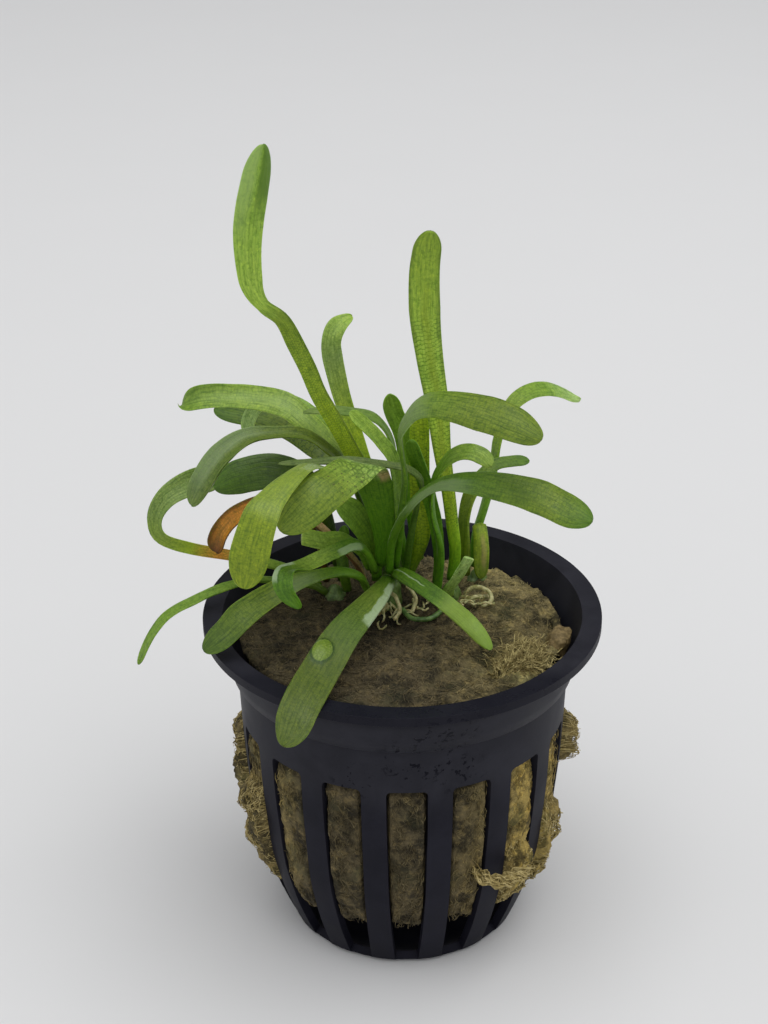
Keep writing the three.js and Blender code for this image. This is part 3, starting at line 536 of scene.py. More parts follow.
        name="leaf_tall_right",
        midrib=[(7.2, 11.3, 46.8), (7.6, 9.9, 52), (7.1, 9, 57), (6.5, 8, 62.5), (5.6, 7.5, 69), (4.9, 7, 76),
                (3.9, 6, 83), (3.2, 5, 89.6), (3.1, 4, 96), (3.8, 3.2, 101.8)],
        widths=[1.6, 1.7, 1.8, 1.9, 2.4, 3, 3.35, 3.75, 4.2, 4, 3.5],
        across=[(1, 0.1, 0.1), (1, 0.1, 0.1)],
        tip=0.8,
        colors=[(0, STALK), (0.3, SUNNY), (0.6, PALE), (1, OLIVE)],
        shade=1.8,
        patches=[
            dict(share=(0.22, 0.86), across=(0.4, 0.66), color=SUNNY, strength=0.6, soft=0.09),
            dict(share=(0.2, 1.1), across=(-0.3, 0.1), color=DEEP, strength=0.55, soft=0.04),
            dict(share=(0.2, 1.1), across=(0.9, 1.3), color=DEEP, strength=0.55, soft=0.04),
        ],
        ladder=(0.15, 0.8, 0.62, 1.6),
        cup=[0.1, 0.1, 0.05],
    ),
    dict(
        name="leaf_curled",
        midrib=[(5, 7.8, 46.8), (5.4, 6.6, 54), (4.3, 5, 60.5), (4.3, 3.5, 65.5), (5.6, 1.9, 69.5),
                (7.3, 0.4, 71.8), (9.1, -0.8, 72.7), (10.8, -1.6, 72.3), (11.8, -2.5, 71.3)],
        widths=[1.4, 1.5, 1.6, 2.4, 2.8, 2.4],
        across=[(0.6, -0.8, 0.1), (0.2, -0.9, -0.1), (-0.3, -0.7, -0.6)],
        colors=[(0, STALK), (0.6, FRESH), (0.8, SOFT), (1, PALE)],
        shade=1.1,
        patches=[dict(share=(0.2, 0.5), across=(0.42, 0.5), color=GLEAM, strength=0.6, gloss=1, soft=0.01)],
        cup=[0.3, 0.3, 0.2, 0.1],
    ),
    dict(
        name="leaf_right_stub",
        midrib=[(6.5, 6.5, 46.8), (6.6, 5.4, 48.4), (7.8, 4.4, 51), (9.3, 3.7, 54.3)],
        widths=[1.8, 1.7, 1.5],
        across=[(0.9, 0.3, -0.2), (0.9, 0.3, -0.2)],
        cut=True,
        colors=[(0, SOFT), (1, WASHED)],
        shade=1.5,
        spots=(0.2, 0.9),
    ),
    dict(
        name="leaf_dark_upright",
        midrib=[(5, 10.4, 46.8), (5.3, 9.8, 51), (4.8, 8.9, 57), (3.8, 7.6, 62), (2.8, 6.4, 66),
                (1.8, 5.2, 69.5), (1.2, 4.6, 72)],
        widths=[1.3, 1.8, 2.2, 2],
        across=[(0.9, -0.2, 0.3), (0.9, -0.2, 0.3)],
        colors=[(0, STALK), (1, MID)],
        shade=1.4,
        slot="dark_leaf",
    ),
    dict(
        name="leaf_back_right",
        midrib=[(10.6, 15.4, 46.6), (10.7, 16.2, 50.9), (11.9, 17.2, 55), (13.2, 19, 59.4), (14, 21, 64.1),
                (15.5, 23, 67.9), (18.2, 26, 69.4), (22.1, 29, 68.9), (26.9, 31.9, 65.8)],
        widths=[1.4, 1.6, 1.8, 1.9, 2.6, 2.8, 2.2],
        across=[(0.3, -0.95, 0), (0.3, -0.9, -0.3), (0.4, -0.7, -0.5)],
        colors=[(0, STALK), (0.6, OLIVE), (0.8, SOFT), (1, WASHED)],
        shade=1.4,
        cup=[0.1, 0.1, -0.15],
        tip=1.8,
    ),
    dict(
        name="leaf_right_hanging",
        midrib=[(11.5, 12.7, 46.6), (11.4, 13.3, 50.6), (11.1, 14, 53.4), (11.1, 13.2, 54.5),
                (11.3, 12, 53.4), (11.4, 11, 50.6), (11.3, 10.4, 47.2)],
        widths=[1.3, 1.5, 2, 2.3, 2],
        across=[(1, 0.2, 0), (1, 0.1, 0.1), (1, 0, 0)],
        colors=[(0, MID), (0.6, SUNNY), (1, OLIVE)],
        shade=1,
        patches=[dict(share=(0.62, 0.88), across=(0.5, 0.8), color=STRAW, strength=0.35, soft=0.05)],
    ),
    dict(
        name="leaf_small_right",
        midrib=[(9.2, 12.8, 46.8), (9, 12.2, 51), (9, 13, 56), (10.3, 14.2, 60), (13, 16, 62.5),
                (15.7, 16.9, 62.8), (18.4, 17.6, 62.6)],
        widths=[1.5, 2.3, 2.4, 1.9, 1.7],
        across=[(0.8, -0.5, 0), (0.3, -0.8, -0.4), (0, -0.8, -0.6)],
        colors=[(0, OLIVE), (0.5, OLIVE), (1, MID)],
        shade=1.1,
    ),
    dict(
        name="leaf_looped",
        midrib=[(-11.9, 9.2, 46.8), (-13.5, 9, 48.5), (-18, 8, 51), (-23.5, 7, 53), (-29.5, 6.1, 54.8),
                (-33.5, 5.7, 56.8), (-34.2, 6.2, 59.5), (-32.8, 7, 62), (-30.3, 9, 63), (-27.5, 11, 63),
                (-25.4, 12.5, 62.5)],
        widths=[1.3, 1.4, 1.5, 1.7, 2.1, 3.5, 4.5],
        across=[(0, 0.6, 0.8), (0, 0.5, 0.9), (0.6, 0.2, 0.6), (0.7, -0.3, -0.5), (0.2, -0.5, -0.8)],
        colors=[(0, FRESH), (0.25, PALE), (0.4, RUST), (0.5, SUNNY), (0.7, GREYED), (1, GREYED)],
        shade=1.4,
        streaks=1.2,
        cup=[0.1, 0.1, 0.15, 0.2],
    ),
    dict(
        name="leaf_dark_broad",
        midrib=[(-8.6, 11.4, 46.8), (-9.3, 10.8, 50.5), (-11, 10.2, 58), (-13.5, 9.5, 63), (-17.5, 8.5, 65.5),
                (-22.5, 8, 65), (-26, 7.5, 63.5)],
        widths=[1.4, 2.2, 3.6, 4.9, 5.2, 4.7],
        across=[(0.6, 0.7, 0.3), (0.2, 0.7, 0.6), (0, 0.6, 0.8)],
        colors=[(0, DEEP), (0.7, DEEP), (1, MID)],
        shade=0.9,
        ladder=(0.3, 1, 0.5, 0.4),
        cup=[0.1, 0.1, -0.1],
        slot="dark_leaf",
    ),
    dict(
        name="leaf_dead",
        midrib=[(-10.9, 11.2, 46.8), (-11.6, 9.4, 53.5), (-13.3, 7.5, 59.5), (-16, 6, 61.6),
                (-19.2, 4.9, 62.1), (-22.6, 3.8, 60.8), (-24.6, 3.3, 58.6), (-25.6, 2.9, 55.8)],
        widths=[1.3, 1.5, 1.6, 2.2, 2.9, 3],
        across=[(-0.1, 0.8, 0.5), (-0.1, 0.8, 0.5), (-0.7, 0.5, 0.3)],
        tip=0.6,
        colors=[(0, DEEP), (0.55, BROWN), (0.75, RUST), (0.9, RUST), (1, BROWN)],
        shade=1.1,
        margin=BROWN,
        cup=[0.3, 0.5, 0.6],
        slot="dead_leaf",
    ),
    dict(
        name="leaf_far_left",
        midrib=[(-10.8, 7.2, 46.9), (-12.5, 7, 48.2), (-16, 6, 49.4), (-20.6, 4.2, 50.7), (-25, 1.2, 51),
                (-28.6, -0.8, 50.3), (-32.2, -1.9, 48.7), (-34.5, -3, 46), (-36.5, -4, 42)],
        widths=[1.3, 1.3, 1.4, 1.6, 1.9, 1.7],
        across=[(-0.4, 0.9, 0.1), (-0.4, 0.9, 0.1)],
        colors=[(0, DEEP), (0.4, SOFT), (1, SOFT)],
        shade=1.2,
        tip=2,
    ),
    dict(
        name="leaf_short_dark",
        midrib=[(-7.8, 8.2, 46.8), (-8.2, 7.4, 50), (-8.4, 7.6, 53.5), (-8, 8.6, 57)],
        widths=[1.3, 1.7, 1.6],
        across=[(1, 0, 0), (1, 0, 0)],
        colors=[(0, DEEP), (1, MID)],
        shade=1.4,
        slot="dark_leaf",
    ),
    dict(
        name="dead_stalk",
        midrib=[(-5.3, 8.9, 47), (-6.2, 7.7, 51), (-7.8, 6.6, 54), (-9.6, 5.8, 56.5), (-12, 5, 59.5)],
        widths=[1.2, 1.4, 1.4],
        across=[(-0.2, 0.6, 0.7), (-0.2, 0.6, 0.7)],
        cut=True,
        colors=[(0, STRAW), (1, STRAW)],
        shade=1.3,
        margin=BROWN,
        slot="dead_stalk",
    ),
]

# Roots and the runner: the line that each follows and its radius
ROOTS = {
    "root_front_left": (
        [(-4.6, 4, 45.9), (-4.4, 3.2, 47.4), (-3.4, 3, 48.2), (-2.4, 3.2, 47.6), (-2.6, 2.6, 46)],
        0.35,
    ),
    "root_front": ([(-1.6, 4.2, 48.6), (-0.8, 3.2, 48.2), (-0.4, 2.4, 46.8), (-1, 1.4, 45.6)], 0.35),
    "root_front_right": ([(0.6, 6.2, 48.6), (1.6, 5.4, 48), (1.9, 4.6, 46.8), (1.4, 3.8, 45.6)], 0.35),
    "root_right_loop": (
        [(8.8, 7.8, 46.2), (10.2, 7.4, 47.6), (12.2, 6.6, 47.4), (12.6, 5.4, 46.3), (11.2, 4.8, 45.9)],
        0.4,
    ),
    "root_right_low": ([(8.4, 6.6, 46.3), (9.8, 5.6, 46.9), (11, 6, 46.8), (12.4, 7.4, 46)], 0.4),
    "runner": ([(-0.2, 4.4, 46), (1.2, 2.2, 45.7), (3.6, 1.8, 45.7), (5.4, 3.6, 45.9), (5.6, 6.2, 46)], 0.45),
}


# Shapes


def finish_piece(bm, name, material, replaced=()):
    """Turns a bmesh in metres into a smooth object on the body that stands for the solids named."""
    mesh = bpy.data.meshes.new(name)
    bm.to_mesh(mesh)
    bm.free()
    return place_mesh(mesh, name, material, replaced)


def place_mesh(mesh, name, material, replaced=()):
    """Links a finished mesh as an object that rides on the body."""
    mesh.materials.clear()
    mesh.materials.append(material)
    mesh.shade_smooth()
    piece = bpy.data.objects.new(name, mesh)
    bpy.context.scene.collection.objects.link(piece)
    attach(piece, BODY)
    if replaced:
        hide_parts(*replaced)
    return piece


def lerp(a, b, t):
    """The value a share t of the way from a to b."""
    return a + (b - a) * t


def smoothstep(x, low, high):
    """0 below low, 1 above high and smooth between."""
    t = min(max((x - low) / (high - low), 0), 1)
    return t * t * (3 - 2 * t)


def spread(values, share):
    """Value at a share of the way along a list of numbers or vectors spread evenly from 0 to 1."""
    place = share * (len(values) - 1)
    index = min(int(place), len(values) - 2)
    return lerp(values[index], values[index + 1], place - index)


class Line:
    """A smooth line through points, measured along its length."""

    def __init__(self, points, samples=24):
        points = [Vector(p) for p in points]
        padded = [2 * points[0] - points[1], *points, 2 * points[-1] - points[-2]]
        self.places = []
        for a, b, c, d in zip(padded, padded[1:], padded[2:], padded[3:]):
            for step in range(samples):
                self.places.append(self.blend(a, b, c, d, step / samples))
        self.places.append(points[-1])
        self.reach = [0.0]
        for a, b in zip(self.places, self.places[1:]):
            self.reach.append(self.reach[-1] + (b - a).length)
        self.length = self.reach[-1]

    @staticmethod
    def blend(a, b, c, d, t):
        """Point between b and c on the smooth line through all four."""
        square, cube = 2 * a - 5 * b + 4 * c - d, 3 * b - a - 3 * c + d
        return 0.5 * (2 * b + (c - a) * t + square * t**2 + cube * t**3)

    def at(self, share):
        """Point at a share of the length."""
        wanted = min(max(share, 0), 1) * self.length
        high = min(max(bisect.bisect_left(self.reach, wanted), 1), len(self.reach) - 1)
        low = high - 1
        gap = self.reach[high] - self.reach[low]
        return self.places[low].lerp(self.places[high], (wanted - self.reach[low]) / gap if gap else 0)

    def way(self, share):
        """Direction of the line at a share of its length."""
        step = 0.004
        return (self.at(share + step) - self.at(share - step)).normalized()


def leaf_half_width(leaf, share, length):
    """Half the leaf's width at a share of its length, rounded off at the tip."""
    half = spread(leaf["widths"], share) / 2
    if leaf.get("cut"):
        return half
    end = leaf.get("tip", 0.9) * leaf["widths"][-1] / length
    past = max(0, (share - 1 + end) / end)
    return half * math.sqrt(max(1 - past**2, 0))


def leaf_section(leaf, share, line):
    """Middle, right way and upper way of the leaf at a share of its length."""
    forward = line.way(share)
    right = spread([Vector(a) for a in leaf["across"]], share)
    right = (right - forward * right.dot(forward)).normalized()
    return line.at(share), right, right.cross(forward)


def leaf_relief(leaf, share, across, half, length, seed):
    """Height of the leaf's surface over its flat section: its cup, its waves and its drooping side."""
    flat = smoothstep(share, STALK_END, BLADE_START)
    height = spread(leaf.get("cup", [0.1, 0.1]), share) * flat * half * (across**2 * 1.5 - 0.5)
    distance = share * length
    margin = noise.noise(seed + Vector((across * 0.7, distance * 0.1, 0)))
    face = noise.noise(seed + Vector((across * 2, distance * 0.4, 5)))
    height += flat * (MARGIN_WAVE * abs(across) * margin + FACE_WAVE * face)
    start, drop = leaf.get("droop", (1, 0))
    height -= drop * max(0, (share - start) / max(1 - start, 0.01)) ** 2 * (1 + across)
    return height


def grow_leaf(leaf, material):
    """A flattened tube along the midrib, with a rounded or cut end and a thin margin."""
    line = Line(leaf["midrib"])
    length = line.length
    rows = max(FEWEST_ROWS, round(length / ROW_SPACING))
    seed = Vector((leaf_seed(leaf), 3.1, 7.7))
    bm = bmesh.new()
    bmesh.ops.create_grid(bm, x_segments=LEAF_COLUMNS, y_segments=rows, size=0.5)
    uv = bm.loops.layers.uv.new("UVMap")
    for face in bm.faces:
        for loop in face.loops:
            turn, share = wrapped(loop.vert.co)
            loop[uv].uv = (0.5 + 0.5 * math.cos(turn), share)
    for vert in bm.verts:
        turn, share = wrapped(vert.co)
        middle, right, upper = leaf_section(leaf, share, line)
        half = leaf_half_width(leaf, share, length)
        across = math.cos(turn)
        flat = smoothstep(share, STALK_END, BLADE_START)
        thick = lerp(STALK_THICKNESS, BLADE_THICKNESS, flat) / 2 * min(1, half / THIN_BELOW)
        around = math.sin(turn)
        height = math.copysign(abs(around) ** lerp(0.9, 0.7, flat), around) * thick
        height += leaf_relief(leaf, share, across, half, length, seed)
        if around > 0 and "blister" in leaf:
            height += blister_height(leaf["blister"], share * length, across * half, length)
        vert.co = (middle + right * across * half + upper * height) * MM
    close_tube(bm)
    piece = finish_piece(bm, leaf["name"] + "_blade", material, [leaf["name"]])
    return piece


def wrapped(co):
    """Turn round the leaf and share of its length for a corner of the flat grid."""
    return (co.x + 0.5) * 2 * math.pi, 1 - (0.5 - co.y) ** TIP_CROWDING


def leaf_seed(leaf):
    """A number of its own for each leaf, so that no two have the same marks."""
    return sum(ord(letter) * place for place, letter in enumerate(leaf["name"], 1)) % 89


def blister_height(blister, distance, side, length):
    """Dome of a blister at a distance along the leaf and to the right of its midrib."""
    share, across, long_radius, wide_radius = blister
    off = ((distance - share * length) / long_radius) ** 2
    off += ((side - (across - 0.5) * BLISTER_SPAN) / wide_radius) ** 2
    return BLISTER_HEIGHT * math.sqrt(max(0, 1 - off)) + 0.1 * smoothstep(1.5 - off, 0, 0.5)


def close_tube(bm):
    """Closes the long seam and both ends of a wrapped grid, and turns its faces outwards."""
    bmesh.ops.remove_doubles(bm, verts=bm.verts, dist=TOUCHING)
    edges = [e for e in bm.edges if e.is_boundary]
    if edges:
        bmesh.ops.holes_fill(bm, edges=edges, sides=0)
    bmesh.ops.recalc_face_normals(bm, faces=bm.faces)


def slot_angle(number):
    """Bearing of the middle of a slot, counted from the front to the right."""
    return math.radians(SLOT_TURN - 90 + number * 360 / SLOT_COUNT)


def slot_half_angle(radius):
    """Half the angle that a slot takes up at a radius."""
    return math.pi / SLOT_COUNT - RIB_WIDTH / 2 / radius


def outside_radius(height):
    """Radius of the outside of the pot's wall at a height."""
    for (r0, z0), (r1, z1) in zip(OUTSIDE, OUTSIDE[1:]):
        if height <= z1:
            return lerp(r0, r1, (height - z0) / (z1 - z0))
    return OUTSIDE[-1][0]


def smooth_radius(height):
    """The same radius with the corners of the profile rounded off."""
    if height < 3:
        return outside_radius(height)
    reach, samples = 2.5, 4
    places = [height + reach * k / samples for k in range(-samples, samples + 1)]
    return sum(outside_radius(min(z, OUTSIDE[-1][1])) for z in places) / len(places)


def pot_profile():
    """Middle of the wall as radius and height, from the centre of the base to the edge of the rim."""
    half = WALL / 2
    points = [(0, 0.62), (5, 0.62), (10, 0.62), (14, 0.62), (BASE_RADIUS - half, 0.66)]
    heights = [SLOT_BOTTOM, 2.2, 3.6, 5.2, 7, 9, 11, 13, 15, 17.5, 20, 22.5, 25, 27.5, 30, 32, SLOT_TOP]
    heights += [36, 38.5, 40.6]
    points += [(smooth_radius(z) - half, z) for z in heights]
    (r0, z0), (r1, _) = COLLAR
    top = POT_HEIGHT - half
    points.append((r0 - half, z0 + 0.1))
    points += [(lerp(r0, r1, k / 4) - half, lerp(z0, top, k / 4)) for k in (1, 2, 3, 4)]
    return points + [(r1 + 0.2, top), (RIM_RADIUS, top)]


def build_pot(settings):
    """The wall as a wrapped grid with its slots cut out, given a thickness and rounded edges."""
    profile = pot_profile()
    bm = bmesh.new()
    cells = wrap_wall(bm, profile)
    cut_slots(bm, cells, [z for _, z in profile])
    bmesh.ops.remove_doubles(bm, verts=bm.verts, dist=TOUCHING)
    round_slot_corners(bm)
    bmesh.ops.recalc_face_normals(bm, faces=bm.faces)
    piece = finish_piece(bm, "net_pot_body", pot_plastic(settings), ["net_pot"])
    thickness = piece.modifiers.new("Wall", "SOLIDIFY")
    thickness.thickness = WALL * MM
    thickness.offset = 0
    thickness.use_even_offset = True
    rounding = piece.modifiers.new("Edges", "BEVEL")
    rounding.width = EDGE_ROUNDING * MM
    rounding.segments = 3
    rounding.limit_method = "ANGLE"
    rounding.angle_limit = math.radians(38)
    rounding.harden_normals = True
    return piece


def wrap_wall(bm, profile):
    """Wraps a grid round the pot's profile. Returns the column and row of each corner."""
    period = SLOT_COLUMNS + RIB_COLUMNS
    columns = SLOT_COUNT * period
    rows = len(profile) - 1
    bmesh.ops.create_grid(bm, x_segments=columns, y_segments=rows, size=0.5)
    bm.verts.index_update()
    cells = {}
    pitch = 2 * math.pi / SLOT_COUNT
    for vert in bm.verts:
        column = round((vert.co.x + 0.5) * columns)
        row = round((vert.co.y + 0.5) * rows)
        cells[vert.index] = (column, row)
        radius, height = profile[row]
        number, step = divmod(column, period)
        rib = min(RIB_WIDTH / max(radius + WALL / 2, 1), pitch * 0.6)
        if step <= SLOT_COLUMNS:
            angle = (pitch - rib) * (step / SLOT_COLUMNS - 0.5)
        else:
            angle = (pitch - rib) / 2 + rib * (step - SLOT_COLUMNS) / RIB_COLUMNS
        angle += slot_angle(number)
        vert.co = Vector((radius * math.cos(angle), radius * math.sin(angle), height)) * MM
    return cells


def cut_slots(bm, cells, heights):
    """Deletes the faces between the ribs, from the lowest to the highest row of the slots."""
    low, high = heights.index(SLOT_BOTTOM), heights.index(SLOT_TOP)
    gone = []
    for face in bm.faces:
        columns, rows = zip(*(cells[vert.index] for vert in face.verts))
        in_slot = min(columns) % (SLOT_COLUMNS + RIB_COLUMNS) < SLOT_COLUMNS
        if in_slot and min(rows) >= low and max(rows) <= high:
            gone.append(face)
    bmesh.ops.delete(bm, geom=gone, context="FACES")


def round_slot_corners(bm):
    """Rounds the two upper corners of each slot."""
    top = SLOT_TOP * MM
    corners = []
    for vert in bm.verts:
        if abs(vert.co.z - top) > 1e-6 or not vert.is_boundary:
            continue
        rims = [e for e in vert.link_edges if e.is_boundary]
        if len(rims) == 2:
            a, b = (e.other_vert(vert).co - vert.co for e in rims)
            if abs(a.normalized().dot(b.normalized())) < 0.5:
                corners.append(vert)
    bmesh.ops.bevel(
        bm, geom=corners, offset=SLOT_CORNER * MM, offset_type="OFFSET", segments=4, profile=0.5,
        affect="VERTICES", material=-1,
    )


def rough(place, size, seed=0.0):
    """Fractal noise from about -1 to 1 at a place in millimetres, for features of a size."""
    return noise.fractal(Vector(place) / size + Vector((seed, 0, 0)), 0.9, 2.1, 4)


def wobble(place):
    """A vector of smooth noise at a place. It is the same in every run, which noise_vector isn't."""
    return Vector([noise.noise(place + Vector(shift)) for shift in WOBBLE_SHIFTS])


def wool_height(x, y):
    """Height of the matted surface of the wool, with its lumps, its hollows and its nap."""
    height = WOOL_LEVEL + WOOL_SLOPE * y
    for (cx, cy), reach, rise in WOOL_LUMPS + WOOL_PITS:
        height += rise * math.exp(-((math.hypot(x - cx, y - cy) / reach) ** 2))
    return height + 0.6 * rough((x, y, 0), 4.5) + 0.48 * rough((x, y, 5), 1.5)


def slot_share(x, y, height):
    """1 in the middle of a slot and 0 behind the ribs, with the slot's number."""
    angle = math.atan2(y, x) - math.radians(SLOT_TURN - 90)
    number = round(angle * SLOT_COUNT / (2 * math.pi))
    off = abs(angle - number * 2 * math.pi / SLOT_COUNT)
    half = slot_half_angle(outside_radius(min(max(height, 0), OUTSIDE[-1][1])))
    share = 1 - smoothstep(off, half * 0.84, half)
    return share, (number + SLOT_COUNT // 2) % SLOT_COUNT - SLOT_COUNT // 2


def lining_radius(height):
    """Radius of the wool where it lines the inside of the wall."""
    return smooth_radius(height) - WALL - WOOL_GAP


def wool_bulge(x, y, height):
    """How far the wool stands out of its lining radius in a slot."""
    if height > SLOT_TOP + 1:
        return 0
    share, number = slot_share(x, y, height)
    upright = smoothstep(height, 7, 9) * (1 - smoothstep(height, SLOT_TOP - 1.2, SLOT_TOP + 0.3))
    out = WOOL_BULGE + 0.55 * rough((x, y, height * 0.6), 5, 3)
    for slot, low, high, rise in WOOL_TUFTS:
        if slot == number:
            off = (height - (low + high) / 2) / ((high - low) / 2)
            ragged = 0.75 + 0.5 * rough((x, y, height), 3.5, 12)
            out += (rise + WALL / 2) * max(0, 1 - off**4) ** 0.5 * ragged
    return out * share * upright


def wool_side(x, y, height):
    """Distance of the wool's side from the pot's axis at a point's bearing and height."""
    grain = 0.3 * rough((x, y, height * 0.4), 1.2) + 0.15 * rough((x, y, height * 0.6), 0.5)
    out = wool_bulge(x, y, height)
    return lining_radius(height) + out + min(grain, 0.15 + out * 0.6)


def build_wool(settings):
    """The wad of wool: spun from its outline, then matted and pushed out through the slots."""
    side_heights = [8 + 0.5 * k for k in range(73)]
    top_radii = [22 - 0.4 * k for k in range(1, 55)] + [0.01]
    outline = WOOL_FOOT + [(lining_radius(z), z) for z in side_heights]
    outline += WOOL_SHOULDER + [(radius, WOOL_LEVEL) for radius in top_radii]
    bm = bmesh.new()
    spin_outline(bm, outline, WOOL_COLUMNS)
    for vert in bm.verts:
        x, y, z = vert.co
        radius = math.hypot(x, y)
        surface = smoothstep(z, WOOL_LEVEL - 1.6, WOOL_LEVEL)
        side = smoothstep(radius, 15, 17) * (1 - surface)
        z += surface * (wool_height(x, y) - WOOL_LEVEL + 0.14 * rough((x, y, 9), 0.5))
        if side > 0:
            scale = lerp(radius, wool_side(x, y, z), side) / radius
            x, y = x * scale, y * scale
        if z < 12:
            z += (1.6 * rough((x, y, 0), 4, 8) + 0.4) * (1 - smoothstep(z, 8, 12))
        vert.co = Vector((x, y, z)) * MM
    bmesh.ops.recalc_face_normals(bm, faces=bm.faces)
    piece = finish_piece(bm, "wool_wad", wool_finish(settings), ["wool_plug"])
    return piece


def spin_outline(bm, outline, steps):
    """Spins an outline of radius and height pairs all the way round the Z axis."""
    verts = [bm.verts.new((r, 0, z)) for r, z in outline]
    edges = [bm.edges.new(pair) for pair in zip(verts, verts[1:])]
    bmesh.ops.spin(
        bm, geom=verts + edges, cent=(0, 0, 0), axis=(0, 0, 1), angle=2 * math.pi, steps=steps,
        use_merge=True,
    )
    bmesh.ops.remove_doubles(bm, verts=bm.verts, dist=0.02)


def fibre_piece(name, lines, material, roundness=0):
    """Many thin fibres as one mesh. Each line is its points in millimetres and its radius."""
    curve = bpy.data.curves.new(name, "CURVE")
    curve.dimensions = "3D"
    curve.bevel_depth = MM
    curve.bevel_resolution = roundness
    curve.use_fill_caps = True
    for points, radius in lines:
        spline = curve.splines.new("POLY")
        spline.points.add(len(points) - 1)
        for index, (place, point) in enumerate(zip(points, spline.points)):
            point.co = (*(Vector(place) * MM), 1)
            point.radius = radius * (0.4 if index in (0, len(points) - 1) else 1)
    drawn = bpy.data.objects.new(name + "_line", curve)
    bpy.context.scene.collection.objects.link(drawn)
    depsgraph = bpy.context.evaluated_depsgraph_get()
    mesh = bpy.data.meshes.new_from_object(drawn.evaluated_get(depsgraph))
    bpy.data.objects.remove(drawn)
    bpy.data.curves.remove(curve)
    bm = bmesh.new()
    bm.from_mesh(mesh)
    bmesh.ops.remove_doubles(bm, verts=bm.verts, dist=2e-8)
    bmesh.ops.recalc_face_normals(bm, faces=bm.faces)
    bm.to_mesh(mesh)
    bm.free()
    mesh.name = name
    return place_mesh(mesh, name, material)


def curly(rng, start, heading, length, curl, points=4):
    """A fibre from a start, turning a little at each step."""
    places = [Vector(start)]
    heading = Vector(heading).normalized()
    axis = Vector((rng.gauss(0, 1), rng.gauss(0, 1), rng.gauss(0, 1))).normalized()
    for _ in range(points - 1):
        heading = Quaternion(axis, rng.gauss(curl, curl * 0.6)) @ heading
        places.append(places[-1] + heading * (length / (points - 1)))
    return places


def lay_on_wool(rng, points, share, low, high):
    """The points laid on the wool, with a share of their own height and a small random lift."""
    return [Vector((p.x, p.y, wool_height(p.x, p.y) + share * p.z + rng.uniform(low, high))) for p in points]


def slot_place(rng, number, height, reach):
    """A random place on the outside of the wall, across a share of a slot."""
    radius = outside_radius(height)
    angle = slot_angle(number) + rng.uniform(-reach, reach) * slot_half_angle(radius)
    return radius * math.cos(angle), radius * math.sin(angle), height


def lay_on_side(place, lift):
    """The place moved out to the side of the wool and a lift further."""
    out = wool_side(place.x, place.y, place.z) + lift
    turn = math.atan2(place.y, place.x)
    return Vector((out * math.cos(turn), out * math.sin(turn), place.z))


def surface_fibres(count):
    """Short fibres matted on the wool's surface."""
    rng = random.Random(11)
    lines = []
    while len(lines) < count:
        radius = FIBRE_START_RADIUS * math.sqrt(rng.random())
        turn = rng.uniform(0, 2 * math.pi)
        x, y = radius * math.cos(turn), radius * math.sin(turn)
        way = rng.uniform(0, 2 * math.pi)
        heading = (math.cos(way), math.sin(way), rng.uniform(0, 0.5))
        points = curly(rng, (x, y, 0), heading, length=rng.uniform(0.6, 2.4), curl=0.45)
        lifted = lay_on_wool(rng, points, share=0.35, low=-0.03, high=0.1)
        if max(math.hypot(p.x, p.y) for p in lifted) < FIBRE_END_RADIUS:
            lines.append((lifted, rng.uniform(0.025, 0.055)))
    return lines


def slot_fibres(count):
    """Fibres matted on the wool that shows in the slots, most of them upright."""
    rng = random.Random(12)
    lines = []
    while len(lines) < count:
        number = rng.randrange(SLOT_COUNT)
        start = slot_place(rng, number, rng.uniform(8.5, SLOT_TOP), 0.95)
        heading = (rng.gauss(0, 0.45), rng.gauss(0, 0.45), rng.choice((-1, 1)))
        points = []
        for place in curly(rng, start, heading, length=rng.uniform(1, 3), curl=0.3):
            inside = 8 < place.z < SLOT_TOP and slot_share(*place)[0] > 0.05
            if not inside:
                break
            points.append(lay_on_side(place, rng.uniform(-0.02, 0.14)))
        if len(points) > 2:
            lines.append((points, rng.uniform(0.03, 0.07)))
    return lines


def tuft_fibres():
    """Fibres matted on the tufts outside the pot, with a few loose ends."""
    rng = random.Random(14)
    lines = []
    for slot, low, high, _ in WOOL_TUFTS:
        for _ in range(round((high - low) * TUFT_FIBRES_PER_MM)):
            start = slot_place(rng, slot, rng.uniform(low, high), 1)
            heading = (rng.gauss(0, 0.5), rng.gauss(0, 0.5), rng.choice((-1, 1)))
            loose = rng.uniform(0, 0.5) if rng.random() < 0.12 else 0
            points = []
            for step, place in enumerate(curly(rng, start, heading, length=rng.uniform(0.9, 2.4), curl=0.35)):
                points.append(lay_on_side(place, rng.uniform(-0.05, 0.12) + loose * step * 0.3))
            lines.append((points, rng.uniform(0.04, 0.09)))
    return lines


